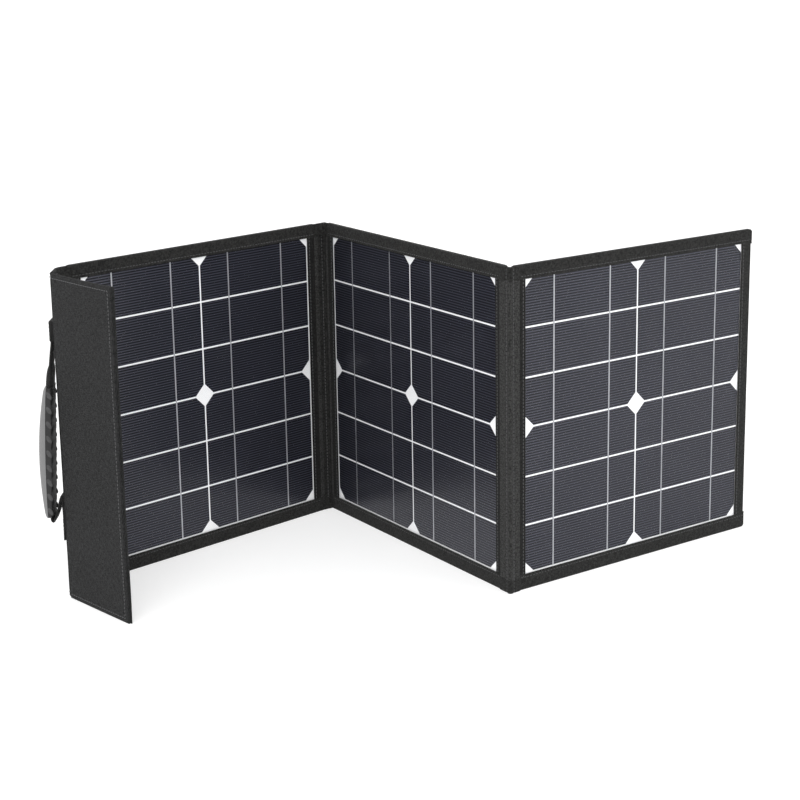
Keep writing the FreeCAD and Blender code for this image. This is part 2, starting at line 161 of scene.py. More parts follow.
class Shells:
    """Closed shells gathered into one mesh, with a UV map in metres that follows the cloth."""

    def __init__(self):
        self.co, self.faces, self.uvs, self.slots, self.count = [], [], [], [], 0

    def add(self, co, faces, uvs, slot):
        co = np.asarray(co, float)
        centred = co - co.mean(0)
        total = 0.0
        for face in faces:
            a = centred[face[0]]
            for b, c in zip(face[1:-1], face[2:]):
                total += a @ np.cross(centred[b], centred[c])
        for face, uv in zip(faces, uvs):
            turned = total < 0
            self.faces.append([i + self.count for i in (face[::-1] if turned else face)])
            self.uvs.append(uv[::-1] if turned else uv)
            self.slots.append(slot)
        self.co.append(co)
        self.count += len(co)

    def slab(self, front, back, slot=0):
        """A cloth with a front and a back surface, each a grid of points, closed round its edges."""
        rows, columns = front.shape[:2]
        co = np.concatenate([front.reshape(-1, 3), back.reshape(-1, 3)])
        i_step = np.linalg.norm(np.diff(front[:, columns // 2], axis=0), axis=1)
        j_step = np.linalg.norm(np.diff(front[rows // 2], axis=0), axis=1)
        u = np.concatenate([[0.0], np.cumsum(i_step)])
        v = np.concatenate([[0.0], np.cumsum(j_step)])
        faces, uvs = [], []
        half = rows * columns
        for i in range(rows - 1):
            for j in range(columns - 1):
                here, ahead = i * columns + j, (i + 1) * columns + j
                face = [here, ahead, ahead + 1, here + 1]
                uv = [(u[i], v[j]), (u[i + 1], v[j]), (u[i + 1], v[j + 1]), (u[i], v[j + 1])]
                faces += [face, [k + half for k in face[::-1]]]
                uvs += [uv, uv[::-1]]
        edge = [(i, 0) for i in range(rows)] + [(rows - 1, j) for j in range(1, columns)]
        edge += [(i, columns - 1) for i in range(rows - 2, -1, -1)]
        edge += [(0, j) for j in range(columns - 2, 0, -1)]
        for (i, j), (k, m) in zip(edge, edge[1:] + edge[:1]):
            a, b = i * columns + j, k * columns + m
            deep = np.linalg.norm(co[a] - co[a + half])
            faces.append([b, a, a + half, b + half])
            uvs.append([(u[k], v[m]), (u[i], v[j]), (u[i] + deep, v[j] + deep), (u[k] + deep, v[m] + deep)])
        self.add(co, faces, uvs, slot)

    def loft(self, rings, slot=0):
        """A closed tube through rings of points, with a cap on each end."""
        rings = np.asarray(rings)
        count, size = rings.shape[:2]
        belt = np.concatenate([rings[count // 2], rings[count // 2][:1]])
        round_step = np.linalg.norm(np.diff(belt, axis=0), axis=1)
        u = np.concatenate([[0.0], np.cumsum(round_step)])
        along = np.linalg.norm(np.diff(rings.mean(1), axis=0), axis=1)
        v = np.concatenate([[0.0], np.cumsum(along)])
        faces, uvs = [], []
        for i in range(count - 1):
            for j in range(size):
                k = (j + 1) % size
                faces.append([i * size + j, i * size + k, (i + 1) * size + k, (i + 1) * size + j])
                uvs.append([(u[j], v[i]), (u[j + 1], v[i]), (u[j + 1], v[i + 1]), (u[j], v[i + 1])])
        first, last = list(range(size))[::-1], [(count - 1) * size + j for j in range(size)]
        faces += [first, last]
        uvs += [[(u[j], v[0]) for j in first], [(u[j], v[-1]) for j in range(size)]]
        self.add(rings.reshape(-1, 3), faces, uvs, slot)

    def piece(self, name, *finishes, angle=38.0):
        """The finished object, at the origin, with its place in its mesh."""
        mesh = bpy.data.meshes.new(name)
        mesh.from_pydata([tuple(p) for p in np.concatenate(self.co)], [], self.faces)
        layer = mesh.uv_layers.new(name="Weave")
        layer.data.foreach_set("uv", [c for face in self.uvs for uv in face for c in uv])
        for each in finishes:
            mesh.materials.append(finish(each))
        mesh.polygons.foreach_set("material_index", self.slots)
        mesh.shade_smooth()
        mesh.set_sharp_from_angle(angle=math.radians(angle))
        mesh.validate()
        made = bpy.data.objects.new(name, mesh)
        bpy.context.scene.collection.objects.link(made)
        return made


def settle(piece, body, slot, *nodes):
    """A finished piece rides on a body, or is baked in place when it lies between two, and stands for the CAD
    nodes it covers.
    """
    if nodes:
        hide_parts(*nodes)
    if isinstance(body, str):
        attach(piece, body)
    else:
        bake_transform(piece)


# ---- shader maths --------------------------------------------------------------------------------------


class Value:
    """A shader socket. Ordinary arithmetic on it adds Math nodes."""

    def __init__(self, shade, node, output=0):
        self.shade, self.holder = shade, node
        self.socket = node.outputs[output] if node.outputs else None

    def out(self, output):
        """Another output of the same node."""
        return Value(self.shade, self.holder, output)

    def math(self, operation, *others):
        return self.shade.node("ShaderNodeMath", {"operation": operation}, [self, *others])

    def fit(self):
        """The value kept between 0 and 1."""
        return self.shade.node("ShaderNodeClamp", {}, [self])

    def __add__(self, other):
        return self.math("ADD", other)

    def __sub__(self, other):
        return self.math("SUBTRACT", other)

    def __mul__(self, other):
        return self.math("MULTIPLY", other)

    def __truediv__(self, other):
        return self.math("DIVIDE", other)

    def __pow__(self, other):
        return self.math("POWER", other)

    __radd__ = __add__


class Shade:
    """One material under construction."""

    def __init__(self, name):
        self.material = bpy.data.materials.new(name)
        self.material.use_nodes = True
        self.tree = self.material.node_tree
        self.tree.nodes.clear()

    def node(self, kind, settings=None, sockets=None, output=0):
        """Any node: its settings first, then values or links for its sockets, by number or by name."""
        made = self.tree.nodes.new(kind)
        for key, value in (settings or {}).items():
            setattr(made, key, value)
        pairs = sockets.items() if isinstance(sockets, dict) else enumerate(sockets or [])
        for key, value in pairs:
            if isinstance(value, Value):
                self.tree.links.new(value.socket, made.inputs[key])
            else:
                made.inputs[key].default_value = value
        return Value(self, made, output)

    def place(self):
        return self.node("ShaderNodeTexCoord", output="Object")

    def weave(self):
        """The piece's own cloth coordinates in metres: across and along."""
        parts = self.node("ShaderNodeSeparateXYZ", {}, [self.node("ShaderNodeUVMap", {"uv_map": "Weave"})])
        return parts, parts.out("Y")

    def grain(self, where, size, detail=2.0, rough=0.5):
        """Noise from 0 to 1 over lumps of a size in metres."""
        sockets = {"Vector": where, "Scale": 1 / size, "Detail": detail, "Roughness": rough}
        return self.node("ShaderNodeTexNoise", {}, sockets)

    def wave(self, where, pitch):
        """A sine from -1 to 1 that repeats every pitch metres."""
        return (where * (2 * math.pi / pitch)).math("SINE")

    def stretched(self, x, y, wide, tall):
        """A point for noise that is drawn out into streaks."""
        return self.node("ShaderNodeCombineXYZ", {}, [x / wide, y / tall, 0.0])

    def colour(self, share, low, high):
        return self.node("ShaderNodeMix", {"data_type": "RGBA"}, {0: share, 6: low, 7: high}, output=2)

    def surface(self, base, rough, height=None, depth=0.0, strength=1.0, **fixed):
        """The finished surface: base and rough may vary, and what is fixed is set on the shader itself."""
        sockets = {"Base Color": base, "Roughness": rough}
        sockets.update({key.replace("_", " "): value for key, value in fixed.items()})
        if height is not None:
            bump = {"Strength": strength, "Distance": depth, "Height": height}
            sockets["Normal"] = self.node("ShaderNodeBump", {}, bump)
        shader = self.node("ShaderNodeBsdfPrincipled", {}, sockets)
        self.node("ShaderNodeOutputMaterial", {}, {"Surface": shader})
        return self.material


def tint(colour, factor=1.0):
    return (colour[0] * factor, colour[1] * factor, colour[2] * factor, 1.0)


def woven(name, colour, pitch, mottle, slub, depth, sheen):
    """Plain-weave cloth of mixed light and dark yarns."""
    shade = Shade(name)
    across, along = shade.weave()
    threads = shade.wave(across, pitch) * shade.wave(along, pitch)
    where = shade.place()
    fine = shade.grain(where, pitch * 1.5, 2.0, 0.7)
    cloudy = shade.grain(where, 38 * MM, 3.0, 0.55)
    flat = shade.grain(shade.stretched(across, along, 5.0 * MM, 0.7 * MM), 1.0, 2.0)
    upright = shade.grain(shade.stretched(across, along, 0.7 * MM, 5.0 * MM), 1.0, 2.0)
    yarn = (flat + upright - 1.0) * slub + (fine - 0.5) * mottle + (cloudy - 0.5) * 0.35
    tone = (0.5 + yarn + threads * 0.12).fit()
    base = shade.colour(tone, tint(colour, 0.28), tint(colour, 1.85))
    height = threads * 0.5 + fine * 0.9 + flat * 0.5
    rough = 0.86 + (fine - 0.5) * 0.16
    return shade.surface(
        base, rough, height, depth, Sheen_Weight=sheen, Sheen_Roughness=0.45, Specular_IOR_Level=0.18
    )


def case_cloth(name):
    return woven(name, colours().case_cloth, 1.1 * MM, 2.6, 3.2, 0.4 * MM, 0.03)


def edge_tape(name):
    return woven(name, colours().edge_tape, 1.5 * MM, 3.4, 2.2, 0.6 * MM, 0.04)


def side_tape(name):
    """The same tape along the upright edges at the folds, darkened to 0.6 of its colour as painted shade."""
    return woven(name, tuple(0.6 * part for part in colours().edge_tape), 1.5 * MM, 3.4, 2.2, 0.6 * MM, 0.03)


def fold_cloth(name):
    return woven(name, colours().fold_cloth, 1.3 * MM, 3.0, 2.0, 0.5 * MM, 0.05)


def strap_webbing(name):
    """Ribbed webbing: cross ribs with a herringbone lean and darker edges between the yarns."""
    shade = Shade(name)
    across, along = shade.weave()
    lean = (shade.wave(across, 6.0 * MM) * (0.5 * MM)) + along
    ribs = shade.wave(lean, 1.5 * MM)
    ends = shade.wave(across, 1.0 * MM)
    fuzz = shade.grain(shade.place(), 0.8 * MM, 2.0)
    tone = (0.45 + ribs * 0.28 + ends * 0.1 + (fuzz - 0.5) * 0.9).fit()
    base = shade.colour(tone, tint(colours().webbing, 0.3), tint(colours().webbing, 1.9))
    return shade.surface(base, 0.8, ribs + fuzz * 0.6, 0.3 * MM, Sheen_Weight=0.05, Specular_IOR_Level=0.25)


def sewing_thread(name):
    shade = Shade(name)
    twist = shade.grain(shade.place(), 0.5 * MM, 1.0)
    base = shade.colour(twist, tint(colours().thread, 0.6), tint(colours().thread, 1.4))
    return shade.surface(base, 0.6, twist, 0.1 * MM, Sheen_Weight=0.1)


def hook_and_loop(name):
    """The fuzzy face of hook-and-loop tape."""
    shade = Shade(name)
    where = shade.place()
    fuzz = shade.grain(where, 0.7 * MM, 3.0, 0.75)
    clumps = shade.node("ShaderNodeTexVoronoi", {}, {"Vector": where, "Scale": 1 / (1.6 * MM)})
    tone = (fuzz * 0.9 + clumps * 0.5 - 0.2).fit()
    base = shade.colour(tone, (0.004, 0.004, 0.004, 1), (0.05, 0.05, 0.052, 1))
    return shade.surface(base, 0.95, fuzz + clumps, 0.8 * MM, Sheen_Weight=0.2, Specular_IOR_Level=0.1)


def solar_cell(name):
    """Blue-black silicon crossed by fine silver fingers, each wafer a little different."""
    shade = Shade(name)
    where = shade.place()
    height = shade.node("ShaderNodeSeparateXYZ", {}, [where]).out("Z")
    fingers = (shade.wave(height, sizes().finger_pitch) * 0.5 + 0.5) ** 1.4
    patches = shade.grain(where, 70 * MM, 2.0)
    lines = fingers * (0.85 + patches * 0.3)
    silicon = shade.colour(patches, tint(colours().cell, 0.72), tint(colours().cell, 1.3))
    share = (lines * sizes().finger_strength).fit()
    base = shade.colour(share, silicon, tint(colours().finger))
    rough = 0.34 + patches * 0.08
    gloss = {"Coat_Weight": 0.35, "Coat_Roughness": 0.2, "Specular_IOR_Level": 0.12}
    return shade.surface(base, rough, lines, 0.01 * MM, 0.1, Metallic=share * 0.6, **gloss)


def cell_ribbon(name):
    shade = Shade(name)
    drawn = shade.grain(shade.place(), 1.5 * MM, 3.0)
    base = shade.colour(drawn, (0.30, 0.31, 0.34, 1), (0.62, 0.63, 0.66, 1))
    return shade.surface(base, 0.35 + drawn * 0.2, drawn, 0.03 * MM, Metallic=0.6, Coat_Weight=0.3)


def white_backsheet(name):
    shade = Shade(name)
    mottle = shade.grain(shade.place(), 9 * MM, 3.0)
    base = shade.colour(mottle, (0.93, 0.94, 0.96, 1), (0.99, 0.99, 1.0, 1))
    return shade.surface(base, 0.34 + mottle * 0.1, mottle, 0.05 * MM, Coat_Weight=0.3)


def front_film(name):
    """Thin clear film with a fine pebbled face."""
    shade = Shade(name)
    pebble = shade.grain(shade.place(), 0.9 * MM, 2.0)
    smear = shade.grain(shade.place(), 55 * MM, 2.0)
    alpha = 0.004 + smear * 0.01
    return shade.surface((0.02, 0.02, 0.024, 1), 0.3, pebble, 0.01 * MM, 0.1, Alpha=alpha)


def core_board(name):
    shade = Shade(name)
    fibre = shade.grain(shade.place(), 2 * MM, 3.0)
    base = shade.colour(fibre, (0.06, 0.06, 0.06, 1), (0.16, 0.16, 0.16, 1))
    return shade.surface(base, 0.8, fibre, 0.2 * MM)


def grip_cap(name):
    """Smooth mid-grey moulding with a satin face and a little handling wear."""
    shade = Shade(name)
    where = shade.place()
    pebble = shade.grain(where, 0.6 * MM, 2.0)
    wear = shade.grain(where, 22 * MM, 4.0, 0.6)
    base = shade.colour(wear, tint(colours().grip, 0.82), tint(colours().grip, 1.16))
    return shade.surface(base, 0.42 + wear * 0.16, pebble, 0.08 * MM, 0.6, Coat_Weight=0.08)


def grip_liner(name):
    shade = Shade(name)
    where = shade.place()
    pebble = shade.grain(where, 0.9 * MM, 2.0)
    dust = shade.grain(where, 16 * MM, 4.0)
    base = shade.colour(dust, (0.007, 0.007, 0.007, 1), (0.028, 0.028, 0.029, 1))
    return shade.surface(base, 0.62 + dust * 0.2, pebble, 0.15 * MM)


def rib_rubber(name):
    """The worn, greyer tops of the grip's ribs."""
    shade = Shade(name)
    wear = shade.grain(shade.place(), 3 * MM, 3.0)
    base = shade.colour(wear, (0.010, 0.010, 0.0102, 1), (0.075, 0.075, 0.077, 1))
    return shade.surface(base, 0.5 + wear * 0.2, wear, 0.1 * MM)


def moulded(name, colour, rough):
    """Spark-eroded black plastic."""
    shade = Shade(name)
    where = shade.place()
    spark = shade.grain(where, 0.5 * MM, 3.0, 0.7)
    flow = shade.grain(where, 30 * MM, 3.0)
    base = shade.colour(flow, tint(colour, 0.75), tint(colour, 1.35))
    return shade.surface(base, rough + spark * 0.18, spark, 0.12 * MM, 0.7)


def box_plastic(name):
    return moulded(name, (0.022, 0.022, 0.023), 0.45)


def terminal_plastic(name):
    return moulded(name, (0.05, 0.22, 0.10), 0.4)


def diode_black(name):
    return moulded(name, (0.018, 0.018, 0.018), 0.35)


def seal_rubber(name):
    return moulded(name, (0.02, 0.02, 0.02), 0.7)


def screw_steel(name):
    shade = Shade(name)
    brushed = shade.grain(shade.place(), 0.7 * MM, 3.0)
    base = shade.colour(brushed, (0.38, 0.38, 0.38, 1), (0.62, 0.62, 0.62, 1))
    return shade.surface(base, 0.28 + brushed * 0.2, brushed, 0.04 * MM, Metallic=1.0)


def studio_floor(name):
    shade = Shade(name)
    return shade.surface(
        (0.6, 0.6, 0.6, 1), 0.75, Specular_IOR_Level=0.1, Emission_Color=(1, 1, 1, 1), Emission_Strength=0.5
    )


FINISHES = {
    "case_fabric": case_cloth,
    "binding_tape": edge_tape,
    "side_tape": side_tape,
    "fold_cloth": fold_cloth,
    "webbing": strap_webbing,
    "sewing_thread": sewing_thread,
    "hook_and_loop": hook_and_loop,
    "solar_cell": solar_cell,
    "cell_ribbon": cell_ribbon,
    "white_backsheet": white_backsheet,
    "front_film": front_film,
    "core_board": core_board,
    "grip_cap": grip_cap,
    "grip_liner": grip_liner,
    "rib_rubber": rib_rubber,
    "box_plastic": box_plastic,
    "terminal_plastic": terminal_plastic,
    "diode_black": diode_black,
    "seal_rubber": seal_rubber,
    "screw_steel": screw_steel,
    "studio_floor": studio_floor,
}
MADE = {}


def finish(name):
    """The material of that name, made the first time it is asked for."""
    if name not in MADE:
        MADE[name] = FINISHES[name](name + "_finish")
    return MADE[name]


# ---- what a user would change --------------------------------------------------------------------------


def length(name, value, description):
    return bpy.props.FloatProperty(
        name=name, description=description, default=value, min=0.0, unit="LENGTH", precision=5
    )


def paint(name, value, description):
    return bpy.props.FloatVectorProperty(
        name=name, description=description, default=value, size=3, min=0.0, max=1.0, subtype="COLOR"
    )


class SolarCaseSizes(bpy.types.PropertyGroup):
    """Sizes of the soft parts, in metres."""

    tape_wall: length("Tape Wall", 0.9 * MM, "Thickness of the folded edge tape")
    tape_lap: length("Tape Lap", 0.35 * MM, "How far the top and bottom tapes stand over the side tapes")
    tape_wave: length("Tape Wave", 0.22 * MM, "How far the edge tape wanders from flat")
    fold_half: length("Fold Cloth", 0.7 * MM, "Half the thickness of the cloth across a fold")
    ridge: length("Fold Ridge", 1.0 * MM, "Height of the sewn ridge on the outer fold")
    pad: length("Strip Pad", 2.2 * MM, "How far the padded strip of the inner fold stands out")
    flap_wave: length("Flap Wave", 1.1 * MM, "How far the closing flap wanders from flat")
    stitch: length("Stitch", 3.0 * MM, "Length of one stitch")
    stitch_pitch: length("Stitch Pitch", 4.0 * MM, "Distance from one stitch to the next")
    thread: length("Thread", 0.5 * MM, "Half the thickness of the sewing thread")
    seam: length("Seam", 5.0 * MM, "Distance of a seam from the edge it follows")
    finger_pitch: length("Finger Pitch", 2.9 * MM, "Distance between the silver lines on a cell")
    finger_strength: bpy.props.FloatProperty(
        name="Finger Strength", description="How bright the silver lines are", default=0.9, min=0.0, max=1.0
    )


class SolarCaseColours(bpy.types.PropertyGroup):
    """Colours of the main finishes."""

    case_cloth: paint("Case Cloth", (0.0152, 0.0154, 0.0158), "Heathered outer cloth")
    edge_tape: paint("Edge Tape", (0.0155, 0.0155, 0.0148), "Tape folded over the panels' edges")
    fold_cloth: paint("Fold Cloth", (0.028, 0.028, 0.0272), "Cloth across the folds")
    webbing: paint("Webbing", (0.016, 0.016, 0.016), "Carrying strap")
    thread: paint("Thread", (0.065, 0.065, 0.068), "Sewing thread")
    cell: paint("Cell", (0.0012, 0.0016, 0.004), "Silicon")
    finger: paint("Finger", (0.070, 0.072, 0.095), "Fine silver lines on the cells")
    grip: paint("Grip", (0.17, 0.17, 0.172), "Moulded cap of the handle")


def sizes():
    return bpy.context.scene.solar_case_sizes


def colours():
    return bpy.context.scene.solar_case_colours


# ---- stitches, screws and what else repeats, from node trees -----------------------------------------------


def tree_with(name, inputs):
    """A new geometry tree with named float inputs, and a function that adds a node to it."""
    tree = bpy.data.node_groups.new(name, "GeometryNodeTree")
    tree.interface.new_socket("Geometry", in_out="INPUT", socket_type="NodeSocketGeometry")
    for label in inputs:
        tree.interface.new_socket(label, in_out="INPUT", socket_type="NodeSocketFloat")
    tree.interface.new_socket("Geometry", in_out="OUTPUT", socket_type="NodeSocketGeometry")

    def node(kind, settings=None, sockets=None):
        made = tree.nodes.new(kind)
        for key, value in (settings or {}).items():
            setattr(made, key, value)
        for key, value in (sockets or {}).items():
            if isinstance(value, bpy.types.NodeSocket):
                tree.links.new(value, made.inputs[key])
            else:
                made.inputs[key].default_value = value
        return made

    return tree, node


def grow(name, tree, lines, inputs):
    """Runs a tree on a mesh of lines or points, and keeps the plain mesh that comes out."""
    co, edges = [], []
    for line in lines:
        start = len(co)
        co += [tuple(p) for p in line]
        edges += [(start + i, start + i + 1) for i in range(len(line) - 1)]
    base = bpy.data.meshes.new(name + "_line")
    base.from_pydata(co, edges, [])
    holder = bpy.data.objects.new(name + "_line", base)
    bpy.context.scene.collection.objects.link(holder)
    modifier = holder.modifiers.new("Grow", "NODES")
    modifier.node_group = tree
    for item in tree.interface.items_tree:
        if item.in_out == "INPUT" and item.name in inputs:
            modifier[item.identifier] = inputs[item.name]
    evaluated = holder.evaluated_get(bpy.context.evaluated_depsgraph_get())
    mesh = bpy.data.meshes.new_from_object(evaluated)
    mesh.name = name
    mesh.shade_smooth()
    holder.modifiers.clear()
    bpy.data.objects.remove(holder)
    made = bpy.data.objects.new(name, mesh)
    bpy.context.scene.collection.objects.link(made)
    return made


def put_beads(node, points, detail, rotation, size, material):
    """Ends a tree with a stretched bead at every point, made into one plain mesh."""
    bead = node("GeometryNodeMeshUVSphere", {}, {"Segments": detail[0], "Rings": detail[1], "Radius": 1.0})
    scale = node("ShaderNodeCombineXYZ", {}, size).outputs[0]
    placing = {"Points": points, "Instance": bead.outputs["Mesh"], "Rotation": rotation, "Scale": scale}
    placed = node("GeometryNodeInstanceOnPoints", {}, placing)
    real = node("GeometryNodeRealizeInstances", {}, {"Geometry": placed.outputs[0]})
    painting = {"Geometry": real.outputs[0], "Material": finish(material)}
    painted = node("GeometryNodeSetMaterial", {}, painting)
    node("NodeGroupOutput", {}, {"Geometry": painted.outputs[0]})


def stitch_tree():
    """Short rounded stitches laid end to end along every line."""
    if "Stitch Row" in bpy.data.node_groups:
        return bpy.data.node_groups["Stitch Row"]
    tree, node = tree_with("Stitch Row", ("Pitch", "Stitch", "Thread"))
    given = node("NodeGroupInput").outputs
    curve = node("GeometryNodeMeshToCurve", {}, {"Mesh": given["Geometry"]}).outputs[0]
    points = node("GeometryNodeCurveToPoints", {"mode": "LENGTH"}, {"Curve": curve, "Length": given["Pitch"]})
    half = node("ShaderNodeMath", {"operation": "MULTIPLY"}, {0: given["Stitch"], 1: 0.5}).outputs[0]
    size = {"X": given["Thread"], "Y": given["Thread"], "Z": half}
    align = node("FunctionNodeAlignRotationToVector", {"axis": "Z"}, {"Vector": points.outputs["Tangent"]})
    put_beads(node, points.outputs["Points"], (6, 5), align.outputs[0], size, "sewing_thread")
    return tree


def rib_tree():
    """A rounded rib at every point, leaning a little, on the side of the grip."""
    tree, node = tree_with("Grip Ribs", ("Proud", "Deep", "Tall", "Heading"))
    given = node("NodeGroupInput").outputs
    size = {"X": given["Proud"], "Y": given["Deep"], "Z": given["Tall"]}
    turn = node("ShaderNodeCombineXYZ", {}, {"X": RIB_LEAN, "Z": given["Heading"]}).outputs[0]
    put_beads(node, given["Geometry"], (12, 8), turn, size, "rib_rubber")
    return tree


def stitches(name, body, slot, lines):
    s = sizes()
    inputs = {"Pitch": s.stitch_pitch, "Stitch": s.stitch, "Thread": s.thread}
    settle(grow(name, stitch_tree(), lines, inputs), body, slot)


def rectangle(place, x0, x1, y, z0, z1):
    """A seam's four sides on a flat face."""
    flat = [(x0, z0), (x1, z0), (x1, z1), (x0, z1), (x0, z0)]
    return [place.at(x, y, z) for x, z in flat]


# ---- edge tapes ----------------------------------------------------------------------------------------


FACE_SINK = 0.25 * MM
SEAM_SINK = 0.3 * MM
SEAM_INSET = 3.2 * MM
FOLD_MARGIN = 1.2 * MM


def channel(width, depth, wall, proud):
    """The tape's section: w from the panel's edge inwards, v from its front face back."""
    r = 1.5 * MM
    low, high = FACE_SINK - proud, depth - FACE_SINK + proud
    soft = (wall - FACE_SINK) * 0.6
    seam = width - SEAM_INSET
    front = [(width, low + soft), (width - 0.25 * MM, low + soft * 0.3), (width - 0.9 * MM, low)]
    front += [(seam + 0.8 * MM, low), (seam, low + SEAM_SINK), (seam - 0.8 * MM, low)]
    front += [(width * share, low) for share in (0.6, 0.45, 0.3, 0.18)]
    turn = [math.radians(18 * step) for step in range(6)]
    arc = [(r - proud - r * math.sin(a), low + r - r * math.cos(a)) for a in turn]
    outside = front + arc
    outside += [(w, high - (v - low)) for w, v in outside[::-1]]
    inner = min(1.2 * MM, wall)
    inside = [(width, depth - wall), (inner, depth - wall), (inner, wall), (width, wall)]
    return np.array(outside + inside), len(outside)


def tape_rings(place, path, stations, width, proud, wave, seed):
    """Rings of a tape whose edge follows path(station, w) in the panel's x-z plane."""
    section, outside = channel(width, PANEL_T, sizes().tape_wall, proud)
    rings = []
    for station in stations:
        w, v = section[:, 0], section[:, 1].copy()
        x, z = path(station, w)
        points = place.at(x, v, z)
        drift = ripple(points, 26 * MM, seed) * wave
        drift += ripple(points, 5 * MM, seed + 7) * wave * 0.35
        drift[outside:] = 0
        drift[np.isclose(w, width)] *= 0.3
        inwards = np.where(v < PANEL_T / 2, 1.0, -1.0)
        rings.append(place.at(x, v + inwards * np.abs(drift), z))
    return rings


def build_edge_tapes():
    s = sizes()
    foot = MIDDLE.extent("middle_cells")[2][0] - 1.5 * MM
    along_z = np.linspace(s.tape_lap, PANEL_H - s.tape_lap, 60)
    reach = HALF_W + s.tape_lap
    along_x = spread(-reach, reach, 6 * MM, 3.5 * MM)
    for number, (name, place, body) in enumerate(PANELS):
        shells = Shells()
        sides = {}
        for side in (-1, 1):
            at_inner_fold = (name, side) in (("left", 1), ("middle", -1))
            sides[side] = TAPE_W - FOLD_MARGIN if at_inner_fold else TAPE_W

            def upright(z, w, side=side):
                return side * (HALF_W - w), z

            at_fold = (name, side) not in (("left", -1), ("right", 1))
            rings = tape_rings(place, upright, along_z, sides[side], 0.0, s.tape_wave, number * 5 + side)
            # slot 1 gives the upright tapes at a fold the darker painted-shade tape finish
            shells.loft(rings, 1 if at_fold else 0)

            def level(x, w, side=side):
                nearness = max(0.0, 1 - (reach - abs(x)) / (3.5 * MM))
                drop = 1.6 * MM * nearness**2
                return x, np.where(side > 0, PANEL_H - w - drop, w + drop)

            high = TAPE_W if side > 0 else foot
            lapped = tape_rings(place, level, along_x, high, s.tape_lap, s.tape_wave, number * 5 + side + 2)
            shells.loft(lapped)
        piece = shells.piece(name + "_edge_tapes", "binding_tape", "side_tape")
        settle(piece, body, "binding_tape", name + "_binding")
        lines = []
        sunk = s.thread * 0.8
        for y in (sunk, PANEL_T - sunk):
            for side, wide in sides.items():
                x = side * (HALF_W - wide + SEAM_INSET)
                lines.append([place.at(x, y, z) for z in (TAPE_W, PANEL_H - TAPE_W)])
            for z in (foot - SEAM_INSET, PANEL_H - TAPE_W + SEAM_INSET):
                lines.append([place.at(x, y, z) for x in (-HALF_W + 2 * MM, HALF_W - 2 * MM)])
        stitches(name + "_tape_stitches", body, "binding_tape", lines)


# ---- cloth across the folds ----------------------------------------------------------------------------


def plan_route(start, pivot, end, radius, step):
    """Points in plan from start round the pivot to end, and their signed distances from the corner."""
    start, pivot, end = (np.asarray(p, float) for p in (start, pivot, end))
    back = (start - pivot) / np.linalg.norm(start - pivot)
    on = (end - pivot) / np.linalg.norm(end - pivot)
    first, last = pivot + back * radius, pivot + on * radius
    share = np.linspace(0, 1, 9)[:, None]
    bend = (1 - share) ** 2 * first + 2 * share * (1 - share) * pivot + share**2 * last
    before = np.linspace(start, first, max(2, int(np.linalg.norm(start - first) / step) + 1))[:-1]
    after = np.linspace(last, end, max(2, int(np.linalg.norm(end - last) / step) + 1))[1:]
    route = np.concatenate([before, bend, after])
    gone = np.concatenate([[0.0], np.cumsum(np.linalg.norm(np.diff(route, axis=0), axis=1))])
    return route, gone - gone[len(before) + 4]


def sweep(shells, route, front_way, heights, front, back, slot=0, wave=0.0, seed=0.0):
    """A cloth along a route in plan, thick to its front and back by functions of distance and height."""
    points, s = route
    tangent = np.gradient(points, axis=0)
    tangent /= np.linalg.norm(tangent, axis=1)[:, None]
    normal = np.stack([tangent[:, 1], -tangent[:, 0]], axis=1)
    if normal[len(normal) // 2] @ np.asarray(front_way)[:2] < 0:
        normal = -normal
    s_grid, z_grid = np.meshgrid(s, heights, indexing="ij")
    base = np.concatenate([np.repeat(points[:, None], len(heights), axis=1), z_grid[..., None]], axis=2)
    out = np.concatenate([normal, np.zeros((len(normal), 1))], axis=1)[:, None]
    drift = ripple(base, 22 * MM, seed) * wave
    near = base + out * (front(s_grid, z_grid) + drift)[..., None]
    far = base - out * (back(s_grid, z_grid) - drift)[..., None]
    shells.slab(near, far, slot)


def soft_ends(z, low, high, radius=1.2 * MM):
    return 0.35 + 0.65 * rim(np.minimum(z - low, high - z), radius)


def wrap_tapes(shells, route, front_way, front, back, seed, bunch=0.0):
    """Edge tape folded over the top and the bottom of a fold's cloth."""
    s = sizes()
    for low, high in ((0.0, TAPE_W), (PANEL_H - TAPE_W, PANEL_H + s.tape_lap)):
        heights = spread(low, high, 2.5 * MM, 1.2 * MM)
        lift = bunch if low > 0 else 0.0

        def outer(d, z, low=low, high=high, lift=lift):
            bunched = lift * np.exp(-((d / (4 * MM)) ** 2))
            return (front(d, z) + s.tape_wall * 0.6 + bunched) * soft_ends(z, low, high)

        def inner(d, z, low=low, high=high):
            return (back(d, z) + s.tape_wall * 0.6) * soft_ends(z, low, high)

        sweep(shells, route, front_way, heights, outer, inner, 1, s.tape_wave, seed)


def as_point(flat, z):
    return (float(flat[0]), float(flat[1]), z)


def bend(body_a, body_b, pivot, way_a, way_b, reach):
    """The two bodies a cloth crosses, and a point at a reach from the pivot towards each of them."""
    ends = [as_point(pivot + way / np.linalg.norm(way) * reach, PANEL_H / 2) for way in (way_a, way_b)]
    return (body_a, body_b, *ends)


SHEET_HEIGHTS = spread(1.0 * MM, PANEL_H - 1.0 * MM, 5 * MM, 2 * MM)
GROOVE_AT = 4.4 * MM


